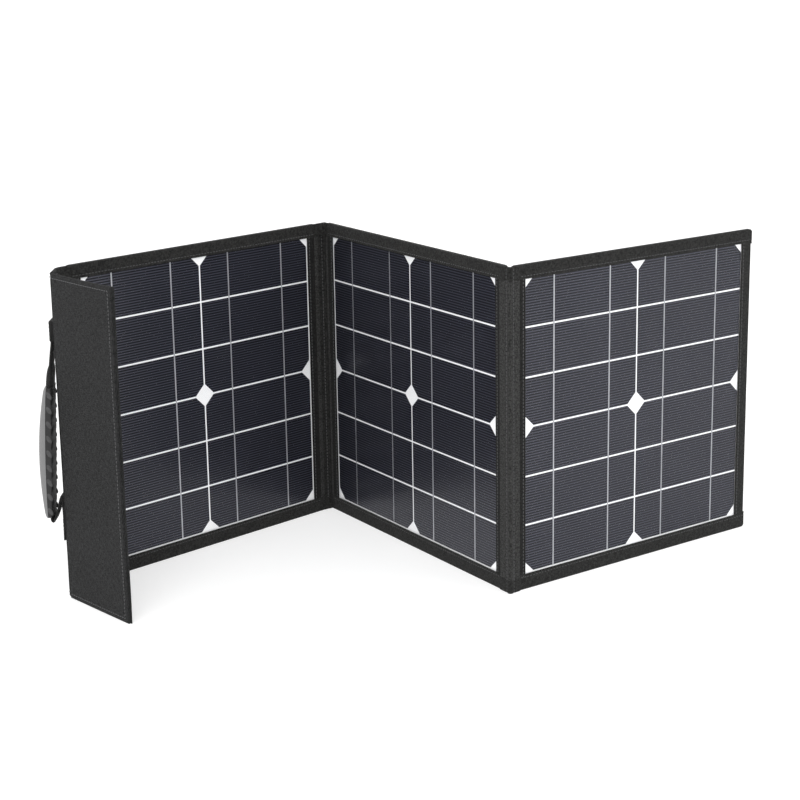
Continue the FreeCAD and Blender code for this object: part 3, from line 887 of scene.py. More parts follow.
def build_outer_fold():
    """The ridge between the middle and right panels: two bands of cloth meet in a sewn ridge."""
    s = sizes()
    pivot = np.array(JOINTS["right_panel_fold"])[:2]
    onto = HALF_W - 6.2 * MM
    start, end = MIDDLE.plan(onto, -0.1 * MM), RIGHT.plan(-onto, -0.1 * MM)
    route = plan_route(start, pivot, end, 2.0 * MM, 1.1 * MM)
    towards = (MIDDLE.plan(HALF_W, 0.0) - pivot, RIGHT.plan(-HALF_W, 0.0) - pivot)
    blend = bend("middle_panel", "right_panel", pivot, *towards, 4.5 * MM)
    front_way = -(MIDDLE.ey + RIGHT.ey)

    def front(d, z):
        ridge = s.ridge * np.exp(-((d / (2.6 * MM)) ** 2))
        groove = 0.8 * MM * np.exp(-(((np.abs(d) - GROOVE_AT) / (0.8 * MM)) ** 2))
        return s.fold_half + ridge - groove

    def back(d, z):
        return np.full_like(d, s.fold_half)

    shells = Shells()
    sweep(shells, route, front_way, SHEET_HEIGHTS, front, back, 0, 0.25 * MM, 3.0)
    wrap_tapes(shells, route, front_way, front, back, 4.0)
    piece = shells.piece("outer_fold_cloth", "fold_cloth", "binding_tape")
    settle(piece, blend, "binding_tape", "middle_fold_tape", "right_fold_tape")
    lines = []
    for gone in (-GROOVE_AT, GROOVE_AT):
        spot = np.array([np.interp(gone, route[1], axis) for axis in route[0].T])
        ahead = np.array([np.interp(gone + 0.1 * MM, route[1], axis) for axis in route[0].T]) - spot
        out = np.array([ahead[1], -ahead[0]]) / np.linalg.norm(ahead)
        out = out if out @ front_way[:2] > 0 else -out
        rise = spot + out * (s.fold_half - 0.1 * MM)
        lines.append([as_point(rise, z) for z in (3 * MM, PANEL_H - 3 * MM)])
    stitches("outer_fold_stitches", blend, "binding_tape", lines)


def build_inner_fold():
    """The padded strip between the left and middle panels, with a hem hinged to each panel."""
    s = sizes()
    (x0, x1), _y, _z = STRIP.extent("fold_strip")
    x0, x1 = x0 + 1.6 * MM, x1 - 1.0 * MM
    centre, half = (x0 + x1) / 2, (x1 - x0) / 2
    route_x = spread(x0, x1, 1.0 * MM, 1.5 * MM)
    shells = Shells()

    def full(x):
        round_off = np.sqrt(np.clip(1 - ((x - centre) / (half * 1.02)) ** 2, 0, 1))
        return round_off * (0.85 + 0.4 * np.tanh((x - centre) / (1.2 * MM)))

    x, z = np.meshgrid(route_x, SHEET_HEIGHTS, indexing="ij")
    crease = 2.1 * MM * np.exp(-(((x - centre) / (1.5 * MM)) ** 2))
    lump = 0.3 * MM * ripple(STRIP.at(x, 0.0, z), 18 * MM, 9.0)
    near = STRIP.at(x, -(s.fold_half + s.pad * full(x) - crease + lump * full(x)), z)
    far = STRIP.at(x, s.fold_half * (0.4 + 0.8 * full(x)), z)
    shells.slab(near, far, 0)
    for low, high, bunch in ((0.0, TAPE_W, 0.0), (PANEL_H - TAPE_W, PANEL_H + 0.5 * MM, 0.9 * MM)):
        levels = spread(low, high, 2.5 * MM, 1.2 * MM)
        x, z = np.meshgrid(route_x, levels, indexing="ij")
        crease = 0.8 * MM * np.exp(-(((x - centre) / (0.8 * MM)) ** 2))
        pinch = bunch * np.sin((x - centre) / half * 2.6 * math.pi) * rim(high - z, TAPE_W)
        out = (s.fold_half + s.tape_wall * 0.7 + (s.pad + bunch) * full(x) - crease) * soft_ends(z, low, high)
        near = STRIP.at(x, -(out + np.abs(pinch) * 0.5), z)
        far = STRIP.at(x, (s.fold_half + s.tape_wall * 0.7 * full(x)) * soft_ends(z, low, high), z)
        shells.slab(near, far, 1)
    piece = shells.piece("inner_fold_strip", "binding_tape", "binding_tape")
    settle(piece, "fold_strip", "binding_tape", "fold_strip")
    seam_y = -(s.fold_half + s.pad - 2.0 * MM)
    line = [STRIP.at(centre, seam_y, z) for z in (3 * MM, PANEL_H - 3 * MM)]
    stitches("inner_fold_stitches", "fold_strip", "binding_tape", [line])

    def front(d, z):
        return np.full_like(d, s.fold_half * 1.1)

    hems = (
        ("middle", MIDDLE, -1, "fold_strip_swing", x1 - 1.8 * MM, ("middle_left_hem",)),
        ("left", LEFT, 1, "left_panel_fold", x0 + 1.8 * MM, ()),
    )
    for name, place, side, joint, strip_x, nodes in hems:
        pivot = np.array(JOINTS[joint])[:2]
        start = place.plan(side * (HALF_W - 3 * MM), 0.9 * MM)
        end = STRIP.plan(strip_x, 0.0)
        route = plan_route(start, pivot, end, 0.8 * MM, 0.8 * MM)
        shells = Shells()
        front_way = -(place.ey + STRIP.ey)
        sweep(shells, route, front_way, SHEET_HEIGHTS, front, front, 0, 0.1 * MM, 6.0)
        wrap_tapes(shells, route, front_way, front, front, 5.0)
        piece = shells.piece(name + "_hem_cloth", "fold_cloth", "binding_tape")
        blend = bend(name + "_panel", "fold_strip", pivot, start - pivot, end - pivot, 1.5 * MM)
        settle(piece, blend, "binding_tape", *nodes)


def build_spine_folds():
    """The case cloth where it bends from the left panel to the spine and from the spine to the flap."""
    s = sizes()
    heights = spread(0.6 * MM, PANEL_H - 0.4 * MM, 5 * MM, 2 * MM)
    (spine_x0, spine_x1), (spine_y0, spine_y1), _z = SPINE.extent("spine_sleeve")
    (_far, flap_x1), (flap_y0, flap_y1), _z = FLAP.extent("flap_sleeve")
    skin = s.fold_half

    def thin(d, z):
        return skin * soft_ends(z, heights[0], heights[-1])

    pivot = np.array(JOINTS["spine_fold"])[:2]
    start = LEFT.plan(-HALF_W + 4 * MM, 0.9 * MM)
    end = SPINE.plan(spine_x1 - 4 * MM, 0.2 * MM)
    route = plan_route(start, pivot, end, 2.5 * MM, 1.2 * MM)
    shells = Shells()
    front_way = -(LEFT.ey + SPINE.ey)
    sweep(shells, route, front_way, heights, thin, thin, 0, 0.3 * MM, 12.0)
    wrap_tapes(shells, route, front_way, thin, thin, 13.0, 0.8 * MM)
    piece = shells.piece("spine_fold_cloth", "case_fabric", "binding_tape")
    blend = bend("left_panel", "spine", pivot, start - pivot, end - pivot, 4 * MM)
    settle(piece, blend, "case_fabric", "left_spine_tape")

    pivot = np.array(JOINTS["flap_fold"])[:2]
    spine_y = (spine_y0 + spine_y1) / 2
    start = SPINE.plan(spine_x0 + 4 * MM, spine_y)
    end = FLAP.plan(flap_x1 - 4 * MM, (flap_y0 + flap_y1) / 2)
    middle = (SPINE.plan(spine_x0 - 2.7 * MM, spine_y - 0.4 * MM) + pivot) / 2
    route = plan_route(start, middle, end, 2.5 * MM, 1.0 * MM)
    reach = route[1][-1]
    shells = Shells()

    def thick(d, z):
        swell = (spine_y1 - spine_y0) / 2 - skin
        return (skin + swell * np.clip(np.abs(d) / reach, 0, 1) * 0.6) * soft_ends(z, heights[0], heights[-1])

    sweep(shells, route, -(SPINE.ey + FLAP.ey), heights, thick, thick, 0, 0.3 * MM, 15.0)
    blend = bend("spine", "flap", pivot, start - pivot, end - pivot, 4 * MM)
    settle(shells.piece("flap_fold_cloth", "case_fabric"), blend, "case_fabric", "spine_flap_tape")


# ---- the stiffened cloths: spine, flap, patches and panel backs ------------------------------------------


BOARD_SKIN = 0.2 * MM
BOARD_REACH = 0.5 * MM


def inset_of(x_grid, z_grid, x, z):
    """How far each point lies inside a rectangle's nearest side."""
    return np.minimum(np.minimum(x_grid - x[0], x[1] - x_grid), np.minimum(z_grid - z[0], z[1] - z_grid))


def cloth_slab(shells, place, x, y, z, soft, crown, wave, lump, seed, step=6 * MM, dent=None, board=None):
    """A cloth, rounded at its edges, a little crowned and wavy, that stays outside the board node in it."""
    xs, zs = spread(*x, step, soft), spread(*z, step, soft)
    x_grid, z_grid = np.meshgrid(xs, zs, indexing="ij")
    full = 0.25 + 0.75 * rim(inset_of(x_grid, z_grid, x, z), soft)
    across = np.clip((x_grid - x[0]) / (x[1] - x[0]), 0, 1)
    up = np.clip((z_grid - z[0]) / (z[1] - z[0]), 0, 1)
    swell = crown * np.sin(math.pi * across) * np.sin(math.pi * up)
    middle, half = (y[0] + y[1]) / 2, (y[1] - y[0]) / 2
    drift = ripple(place.at(x_grid, 0.0, z_grid), lump, seed) * wave
    sink = dent(x_grid, z_grid) if dent else 0.0
    front = middle + drift - half * full - swell + sink * full
    back = middle + drift + half * full + swell - sink * full
    if board:
        board_x, board_y, board_z = place.extent(board)
        over = inset_of(x_grid, z_grid, board_x, board_z) > -BOARD_REACH
        front = np.where(over, np.minimum(front, board_y[0] - BOARD_SKIN), front)
        back = np.where(over, np.maximum(back, board_y[1] + BOARD_SKIN), back)
    shells.slab(place.at(x_grid, front, z_grid), place.at(x_grid, back, z_grid))


def seam_dent(x, z, inset, depth=0.5 * MM, blur=1.0 * MM):
    """The dip that a row of stitches pulls in all round, inset from the edges."""

    def dent(x_grid, z_grid):
        return depth * np.exp(-(((inset_of(x_grid, z_grid, x, z) - inset) / blur) ** 2))

    return dent


def build_flap():
    s = sizes()
    x, y, z = FLAP.extent("flap_sleeve")
    z = (z[0] + 0.2 * MM, z[1])
    shells = Shells()
    body = (x[0] + 0.6 * MM, x[1])
    thick = (y[0] + 0.5 * MM, y[1])
    wander = (s.flap_wave, 85 * MM, 2.0)
    dent = seam_dent(body, z, s.seam)
    cloth_slab(shells, FLAP, body, thick, z, 1.6 * MM, 0.25 * MM, *wander, dent=dent, board="flap_board")
    hem_x, hem_y = (x[0] - 1.0 * MM, x[0] + 12.5 * MM), (y[0] - 0.7 * MM, y[0] + 0.9 * MM)
    cloth_slab(shells, FLAP, hem_x, hem_y, z, 0.8 * MM, 0.0, *wander)
    settle(shells.piece("flap_cloth", "case_fabric"), "flap", "case_fabric", "flap_sleeve")
    lines = []
    free, low, high = body[0] + s.seam, z[0] + s.seam, z[1] - s.seam
    path = [(body[1], high), (free, high), (free, low), (body[1], low)]
    faces = FLAP.extent("flap_board")[1]
    for side, face, board in ((-1, thick[0], faces[0]), (1, thick[1], faces[1])):
        line = []
        for (ax, az), (bx, bz) in zip(path, path[1:]):
            for share in np.linspace(0, 1, 25)[:-1]:
                px, pz = ax + (bx - ax) * share, az + (bz - az) * share
                drift = float(ripple(FLAP.at(px, 0.0, pz), 85 * MM, 2.0)) * s.flap_wave
                proud = max(side * (face + drift), side * board + BOARD_SKIN) + 0.1 * MM
                line.append(FLAP.at(px, side * proud, pz))
        lines.append(line)
    stitches("flap_stitches", "flap", "case_fabric", lines)


def build_spine():
    s = sizes()
    x, y, z = SPINE.extent("spine_sleeve")
    shells = Shells()
    wide = (x[0] - 1.2 * MM, x[1] + 1.0 * MM)
    wander = (0.35 * MM, 60 * MM, 21.0)
    sewing = {"dent": seam_dent((wide[0] - 1, wide[1] + 1), z, s.seam), "board": "spine_board"}
    cloth_slab(shells, SPINE, wide, y, z, 1.8 * MM, 0.3 * MM, *wander, step=3 * MM, **sewing)
    settle(shells.piece("spine_cloth", "case_fabric"), "spine", "case_fabric", "spine_sleeve")
    lines = []
    for face in (y[0] - 0.05 * MM, y[1] + 0.05 * MM):
        for level in (z[0] + s.seam, z[1] - s.seam):
            lines.append([SPINE.at(px, face, level) for px in (wide[0] + 1 * MM, wide[1] - 1 * MM)])
    stitches("spine_stitches", "spine", "case_fabric", lines)


def patch(name, place, node, body, seam, face):
    """A sewn-on strip of hook or loop tape in place of a plain CAD one, with stitches round its edge."""
    x, y, z = place.extent(node)
    shells = Shells()
    dent = seam_dent(x, z, seam, 0.12 * MM)
    cloth_slab(shells, place, x, y, z, 0.7 * MM, 0.0, 0.12 * MM, 20 * MM, 31.0, dent=dent)
    settle(shells.piece(name, "hook_and_loop"), body, "hook_and_loop", node)
    top = y[1] if face > 0 else y[0]
    level = top - face * sizes().thread * 0.6
    line = rectangle(place, x[0] + seam, x[1] - seam, level, z[0] + seam, z[1] - seam)
    stitches(name + "_stitches", body, "hook_and_loop", [line])


def build_patches():
    patch("flap_hook_tape", FLAP, "flap_hook_strip", "flap", 2.5 * MM, -1)
    patch("middle_loop_tape", MIDDLE, "middle_loop_strip", "middle_panel", 2.5 * MM, 1)
    patch("pocket_loop_tape", MIDDLE, "pocket_loop_patch", "middle_panel", 2 * MM, 1)
    patch("pocket_hook_tape", MIDDLE, "pocket_hook_patch", "pocket_lid", 2 * MM, -1)


def build_panel_backs():
    """The outer cloth stretched over each panel's back, held down by the edge tape."""
    inset = 1.2 * MM
    for number, (name, place, body) in enumerate(PANELS):
        y = place.extent(name + "_back_cover")[1]
        shells = Shells()
        x, z = (-HALF_W + inset, HALF_W - inset), (inset, PANEL_H - inset)
        wander = (0.2 * MM, 70 * MM, 41.0 + number)
        cloth_slab(shells, place, x, y, z, 1 * MM, 0.15 * MM, *wander, step=8 * MM)
        settle(shells.piece(name + "_back_cloth", "case_fabric"), body, "case_fabric", name + "_back_cover")


# ---- the carrying handle -------------------------------------------------------------------------------


def ribbon_rings(place, route, x0, x1, thick):
    """Rings of a flat strap along a route in its side view, with rounded edges."""
    route = np.asarray(route, float)
    tangent = np.gradient(route, axis=0)
    tangent /= np.linalg.norm(tangent, axis=1)[:, None]
    normal = np.stack([tangent[:, 1], -tangent[:, 0]], axis=1)
    across = (x1 - x0) / 2
    centre = (x0 + x1) / 2
    halves = np.broadcast_to(np.asarray(thick) / 2, len(route))
    shares = np.concatenate([np.linspace(-1, 1, 11), np.linspace(1, -1, 11)])
    sides = np.repeat([1, -1], 11)
    rings = []
    for (y, z), (ny, nz), half in zip(route, normal, halves):
        full = np.minimum(1.0, (1 - np.abs(shares)) * across / half + 0.35)
        out = sides * half * full
        rings.append(place.at(centre + shares * across, y + ny * out, z + nz * out))
    return rings


def curve_through(points, count):
    """A smooth run of points through a few given ones."""
    points = np.asarray(points, float)
    padded = np.concatenate([2 * points[:1] - points[1:2], points, 2 * points[-1:] - points[-2:-1]])
    out = []
    for a, b, c, d in zip(padded, padded[1:], padded[2:], padded[3:]):
        for t in np.linspace(0, 1, count, endpoint=False):
            cubic = 2 * b + (c - a) * t + (2 * a - 5 * b + 4 * c - d) * t * t
            out.append((cubic + (3 * b - a - 3 * c + d) * t**3) / 2)
    out.append(points[-1])
    return np.array(out)


def bow(offsets, share):
    """The offset of a bowed face at a share of the grip's length down from its top."""
    top, middle, foot = offsets
    lean = 2 * share - 1
    return top * lean * (share - 1) + middle * 4 * share * (1 - share) + foot * share * lean


def build_handle():
    x, anchor_y, upper_z = SPINE.extent("handle_upper_anchor")
    face = anchor_y[0]
    lower_z = SPINE.extent("handle_lower_anchor")[2]
    grip_x, cap_y, grip_z = SPINE.extent("handle_grip_cap")
    _gx, liner_y, _gz = SPINE.extent("handle_grip_liner")
    strap_y = SPINE.extent("handle_strap")[1]
    bottom, top = grip_z
    half = 1.4 * MM
    head = face + (cap_y[0] - face) * 0.66
    foot = strap_y[1] - half * 1.4

    upper = curve_through(
        [
            (face + half, upper_z[1] - 1 * MM),
            (face + half * 1.3, (upper_z[0] + upper_z[1]) / 2),
            (face + 2.1 * half, upper_z[0] - 1 * MM),
            (face + 2.9 * half, upper_z[0] - 9 * MM),
            (head - 2.0 * MM, top + 20 * MM),
            (head, top + 3 * MM),
            (head + 0.6 * MM, top - 12 * MM),
        ],
        7,
    )
    shells = Shells()
    swell = rim(np.clip(top + 22 * MM - upper[:, 1], 0, None), 24 * MM) * 4.2 * MM
    shells.loft(ribbon_rings(SPINE, upper, x[0], x[1], 2 * half + swell))
    centre = (x[0] + x[1]) / 2
    ends = [tuple(SPINE.at(centre, face, z)) for z in (upper_z[0] + 2 * MM, upper_z[0] - 24 * MM)]
    piece = shells.piece("handle_strap_upper", "webbing")
    settle(piece, ("spine", "handle", *ends), "webbing", "handle_strap")

    low = bottom - 6 * MM
    peak = lower_z[1] + 4 * MM
    lower = curve_through(
        [
            (face + half * 1.3, lower_z[0]),
            (face + half * 1.0, (lower_z[0] + lower_z[1]) / 2),
            (face + half * 1.2, lower_z[1] - 6 * MM),
            (face + half * 1.9, peak),
            (face + half * 3.4, lower_z[1] - 1 * MM),
            (face + half * 4.6, lower_z[1] - 8 * MM),
            (foot - 4.5 * MM, low + 6 * MM),
            (foot - 2.0 * MM, low + 1.0 * MM),
            (foot - 0.2 * MM, low + 2.0 * MM),
            (foot, bottom + 1 * MM),
            (foot - 0.6 * MM, bottom + 14 * MM),
        ],
        7,
    )
    shells = Shells()
    shells.loft(ribbon_rings(SPINE, lower, x[0], x[1], 1.9 * half))
    ends = [tuple(SPINE.at(centre, face + away, peak)) for away in (1.6 * MM, 6.5 * MM)]
    piece = shells.piece("handle_strap_lower", "webbing")
    settle(piece, ("spine", "handle", *ends), "webbing", "handle_lower_anchor")

    shells = Shells()
    y, z = (face, face + 2 * half + 2.0 * MM), (upper_z[0] + 1 * MM, upper_z[1])
    cloth_slab(shells, SPINE, x, y, z, 0.9 * MM, 0.0, 0.15 * MM, 15 * MM, 51.0, step=3 * MM)
    settle(shells.piece("handle_anchor_patch", "webbing"), "spine", "webbing", "handle_upper_anchor")
    lines = []
    x0, x1 = x[0] + 2.5 * MM, x[1] - 2.5 * MM
    sewn = (
        (upper_z[0] + 4 * MM, upper_z[1] - 3 * MM, y[1]),
        (lower_z[0] + 3 * MM, lower_z[0] + 22 * MM, face + 1.9 * half),
    )
    for z0, z1, lift in sewn:
        lines.append(rectangle(SPINE, x0, x1, lift, z0, z1))
        lines.append([SPINE.at(x0, lift, z0), SPINE.at(x1, lift, z1)])
        lines.append([SPINE.at(x0, lift, z1), SPINE.at(x1, lift, z0)])
    stitches("handle_box_stitches", "spine", "webbing", lines)
    build_grip(grip_x, cap_y, liner_y, grip_z)


RIB_COUNT = 9
RIB_LEAN = math.radians(-28)


def build_grip(grip_x, cap_y, liner_y, grip_z):
    """A bowed, smooth outer cap over a black liner with finger hollows along its inner face."""
    bottom, top = grip_z
    inner = (liner_y[0] + 1.0 * MM, liner_y[0] + 4.2 * MM, liner_y[0] + 8.3 * MM)
    outer = (cap_y[0] + 1.6 * MM, cap_y[1], cap_y[0] + 8.0 * MM)
    seam = (outer[0] - 3.6 * MM, outer[1] - 8.6 * MM, outer[2] - 3.8 * MM)
    half = (grip_x[1] - grip_x[0]) / 2
    centre = (grip_x[0] + grip_x[1]) / 2
    heights = spread(bottom, top, 2.0 * MM, 3 * MM)
    turn = np.linspace(0, math.pi, 15)
    rings = []
    for z in heights:
        share = (top - z) / (top - bottom)
        from_end = min(z - bottom, top - z)
        end = 0.55 + 0.45 * rim(from_end, 6 * MM)
        y_in, y_out = bow(seam, share), bow(outer, share)
        width = half * (0.86 + 0.14 * rim(from_end, 10 * MM))
        xs = np.sign(np.cos(turn)) * np.abs(np.cos(turn)) ** 0.7 * width
        ys = y_in + (y_out - y_in) * np.sin(turn) ** 0.75 * end
        ring_x = np.concatenate([xs, np.linspace(-width, width, 7)[1:-1]])
        ring_y = np.concatenate([ys, np.full(5, y_in)])
        rings.append(SPINE.at(centre + ring_x, ring_y, np.full(len(ring_x), z)))
    shells = Shells()
    shells.loft(rings)
    settle(shells.piece("handle_cap", "grip_cap"), "handle", "grip_cap", "handle_grip_cap")

    pitch = (top - bottom) / RIB_COUNT
    wide = half * 0.97
    xs = np.array([-1, -0.97, -0.8, -0.6, -0.3, 0, 0.3, 0.6, 0.8, 0.97, 1]) * wide
    ring_x = np.concatenate([xs, xs[::-1]])
    bitten = np.array([0, 0.1, 0.85, 1, 1, 1, 1, 1, 0.85, 0.1, 0])
    round_off = np.array([2.0, 1.0, 0.25, 0, 0, 0, 0, 0, 0.25, 1.0, 2.0]) * MM
    rings = []
    for z in np.linspace(bottom + 0.6 * MM, top - 0.6 * MM, RIB_COUNT * 12 + 1):
        share = (top - z) / (top - bottom)
        phase = ((z - bottom) / pitch) % 1.0
        hollow = 0.9 * MM * np.clip(1 - (abs(phase - 0.5) / 0.34) ** 2, 0, 1) ** 0.5
        y_in, y_out = bow(inner, share), bow(seam, share) - 0.15 * MM
        ring_y = np.concatenate([y_in + bitten * hollow + round_off, np.full(len(xs), y_out)])
        rings.append(SPINE.at(centre + ring_x, ring_y, np.full(len(ring_x), z)))
    shells = Shells()
    shells.loft(rings)
    settle(shells.piece("handle_liner", "grip_liner", angle=50), "handle", "grip_liner", "handle_grip_liner")
    spots = []
    for number in range(RIB_COUNT):
        z = bottom + (number + 0.5) * pitch
        share = (top - z) / (top - bottom)
        middle = (bow(inner, share) + bow(seam, share)) / 2
        spots += [[SPINE.at(centre + side * half * 0.94, middle, z)] for side in (-1, 1)]
    heading = math.atan2(SPINE.ex[1], SPINE.ex[0])
    inputs = {"Proud": 0.8 * MM, "Deep": 2.7 * MM, "Tall": pitch * 0.33, "Heading": heading}
    settle(grow("handle_ribs", rib_tree(), spots, inputs), "handle", "grip_liner")


# ---- the accessory pocket --------------------------------------------------------------------------------


POCKET_WAVE = 0.45 * MM
LID_WAVE = 0.3 * MM


def pouch_sag(share):
    """How far the pocket's face hangs out at a share of its height."""
    return 1.1 * MM * math.sin(math.pi * min(1.0, share * 1.25)) - 0.5 * MM * share


def pouch_drift(points):
    return ripple(points, 32 * MM, 61.0) * POCKET_WAVE


def lid_drift(points):
    return ripple(points, 30 * MM, 71.0) * LID_WAVE


def pouch_ring(x0, x1, y0, y1, bulge, corner, z):
    """One level loop of the pocket: flat against the panel, round-cornered and bulging outwards."""
    span = np.linspace(0, 1, 13)
    arc = np.linspace(0, math.pi / 2, 6)[1:-1]
    out_x = x0 + corner + (x1 - x0 - 2 * corner) * span
    out_y = y1 + bulge * np.sin(math.pi * span)
    left = [(x0 + corner - corner * math.cos(a), y1 - corner + corner * math.sin(a)) for a in arc]
    right = [(x1 - corner + corner * math.sin(a), y1 - corner + corner * math.cos(a)) for a in arc]
    loop = [(x0, y0), (x0, y1 - corner), *left, *zip(out_x, out_y), *right, (x1, y1 - corner), (x1, y0)]
    loop += [(x1 + (x0 - x1) * share, y0) for share in (0.25, 0.5, 0.75)]
    xs, ys = np.array(loop).T
    return MIDDLE.at(xs, ys, np.full(len(xs), z))


def build_pocket():
    x, y, z = MIDDLE.extent("pocket_body")
    tall = z[1] - z[0]
    wall = 1.2 * MM
    shells = Shells()
    rings = []
    levels = np.concatenate([[0.0, 0.6, 1.6, 3.0, 5.0], np.linspace(9, tall / MM, 26)]) * MM
    for rise in levels:
        tuck = (1 - rim(rise, 5 * MM)) * 3.2 * MM
        sag = pouch_sag(rise / tall)
        rings.append(pouch_ring(x[0] + tuck, x[1] - tuck, y[0], y[1] - tuck, sag, 4 * MM, z[0] + rise))
    inner_y = (y[0] + wall, y[1] - wall)
    for rise in levels[::-1][:-2]:
        level = z[0] + max(rise, wall)
        rings.append(pouch_ring(x[0] + wall, x[1] - wall, *inner_y, pouch_sag(rise / tall), 3.2 * MM, level))
    moved = []
    for ring in rings:
        drift = pouch_drift(ring)[:, None] * MIDDLE.ey
        keep = (((ring - MIDDLE.origin) @ MIDDLE.ey) > y[0] + 2 * MM)[:, None]
        moved.append(ring + drift * keep)
    shells.loft(moved)
    piece = shells.piece("pocket_cloth", "case_fabric", angle=50)
    settle(piece, "middle_panel", "case_fabric", "pocket_body")
    piping = []
    for level in (z[0] + 9 * MM, z[1] - 6 * MM):
        sag = pouch_sag((level - z[0]) / tall)
        line = []
        for px in np.linspace(x[0] + 5 * MM, x[1] - 5 * MM, 20):
            across = (px - x[0] - 4 * MM) / (x[1] - x[0] - 8 * MM)
            spot = MIDDLE.at(px, y[1] + sag * math.sin(math.pi * across), level)
            line.append(spot + (float(pouch_drift(spot)) + 0.1 * MM) * MIDDLE.ey)
        piping.append(line)
    stitches("pocket_stitches", "middle_panel", "case_fabric", piping)
    build_pocket_lid()


def build_pocket_lid():
    """The lid that folds down over the pocket's mouth, its hinge cloth and the hem it is sewn to."""
    lid_x, lid_y, lid_z = MIDDLE.extent("pocket_lid")
    _hx, hem_y, hem_z = MIDDLE.extent("pocket_lid_hem")
    pivot = (lid_y[0] + 0.8 * MM, (lid_z[1] - 0.8 * MM))
    half = 0.75 * MM
    front_y = lid_y[1] - half
    route = curve_through(
        [
            (pivot[0] + 3 * MM, pivot[1] - 0.7 * MM),
            ((pivot[0] + front_y) / 2, pivot[1] - 0.4 * MM),
            (front_y - 2.5 * MM, pivot[1] - 0.1 * MM),
            (front_y - 0.4 * MM, pivot[1] - 2.2 * MM),
            (front_y, pivot[1] - 8 * MM),
            (front_y + 0.2 * MM, (lid_z[0] + lid_z[1]) / 2),
            (front_y - 0.1 * MM, lid_z[0] + half),
        ],
        6,
    )
    tangent = np.gradient(route, axis=0)
    tangent /= np.linalg.norm(tangent, axis=1)[:, None]
    normal = np.stack([-tangent[:, 1], tangent[:, 0]], axis=1)
    xs = spread(lid_x[0], lid_x[1], 6 * MM, 2 * MM)
    gone = np.concatenate([[0.0], np.cumsum(np.linalg.norm(np.diff(route, axis=0), axis=1))])
    edge_x = np.minimum(xs - lid_x[0], lid_x[1] - xs)
    edge = np.minimum(edge_x[None, :], (gone[-1] - gone)[:, None])
    thick = half * (0.3 + 0.7 * rim(edge, 1.2 * MM)) * (1 + 0.35 * (edge < 6 * MM))
    across, ys, zs = np.broadcast_arrays(xs[None, :], route[:, :1], route[:, 1:])
    drift = lid_drift(MIDDLE.at(across, ys, zs)) * (gone[:, None] > 12 * MM)
    shells = Shells()
    sides = []
    for way in (1, -1):
        offset = thick * way + drift
        sides.append(MIDDLE.at(across, ys + offset * normal[:, :1], zs + offset * normal[:, 1:]))
    shells.slab(*sides)
    settle(shells.piece("pocket_lid_cloth", "case_fabric"), "pocket_lid", "case_fabric", "pocket_lid")
    inset = 4 * MM
    outline = [(lid_x[0] + inset, pivot[1] - 6 * MM), (lid_x[0] + inset, lid_z[0] + inset)]
    outline += [(lid_x[1] - inset, lid_z[0] + inset), (lid_x[1] - inset, pivot[1] - 6 * MM)]
    line = []
    for (ax, az), (bx, bz) in zip(outline, outline[1:]):
        for share in np.linspace(0, 1, 12):
            px, pz = ax + (bx - ax) * share, az + (bz - az) * share
            lift = abs(float(lid_drift(MIDDLE.at(px, front_y, pz)))) + 0.2 * MM
            line.append(MIDDLE.at(px, front_y + half + lift, pz))
    stitches("pocket_lid_stitches", "pocket_lid", "case_fabric", [line])

    hinge = curve_through(
        [
            (hem_y[0] + 0.9 * MM, hem_z[1] - 2 * MM),
            (hem_y[0] + 0.9 * MM, hem_z[0]),
            (pivot[0] - 0.2 * MM, pivot[1] + 0.3 * MM),
            (pivot[0] + 5 * MM, pivot[1] - 0.7 * MM),
        ],
        6,
    )
    shells = Shells()
    shells.loft(ribbon_rings(MIDDLE, hinge, lid_x[0] + 0.5 * MM, lid_x[1] - 0.5 * MM, 1.3 * MM))
    middle_x = (lid_x[0] + lid_x[1]) / 2
    start = tuple(MIDDLE.at(middle_x, hem_y[0] + 1 * MM, hem_z[0]))
    end = tuple(MIDDLE.at(middle_x, pivot[0] + 3 * MM, pivot[1]))
    blend = ("middle_panel", "pocket_lid", start, end)
    settle(shells.piece("pocket_lid_hinge_cloth", "case_fabric"), blend, "case_fabric")
    shells = Shells()
    cloth_slab(shells, MIDDLE, lid_x, hem_y, hem_z, 0.9 * MM, 0.0, 0.1 * MM, 20 * MM, 81.0)
    settle(shells.piece("pocket_hem_tape", "binding_tape"), "middle_panel", "binding_tape", "pocket_lid_hem")
    level = (hem_z[0] + hem_z[1]) / 2
    line = [MIDDLE.at(px, hem_y[1] - 0.3 * MM, level) for px in (lid_x[0] + 2 * MM, lid_x[1] - 2 * MM)]
    stitches("pocket_hem_stitches", "middle_panel", "binding_tape", [line])


# ---- finishes on what the CAD already shapes ---------------------------------------------------------------


def paint_frame():
    """Each carried-over CAD node takes the finish of its record slot."""
    for part in frame["record"]["subparts"]:
        node = frame["nodes"][part["node"]]
        for holder in node.material_slots:
            holder.material = finish(part["material_slot"])


# ---- stage ---------------------------------------------------------------------------------------------

CAMERA_AT = (-1.0576, -1.5788, 0.6981)
CAMERA_RIGHT = (0.82576, -0.56379, -0.01621)
CAMERA_FORWARD = (0.54561, 0.80575, -0.23038)
CAMERA_LENS = 79.36
CAMERA_RISE = -0.075
FLOOR_REACH = 40.0
SKY_STRENGTH = 1.12
LIGHTS = (
    ("key_light", (-1.6, -1.6, 2.6), 2.2, 42.0),
    ("fill_light", (1.8, -1.8, 2.0), 2.6, 8.0),
)


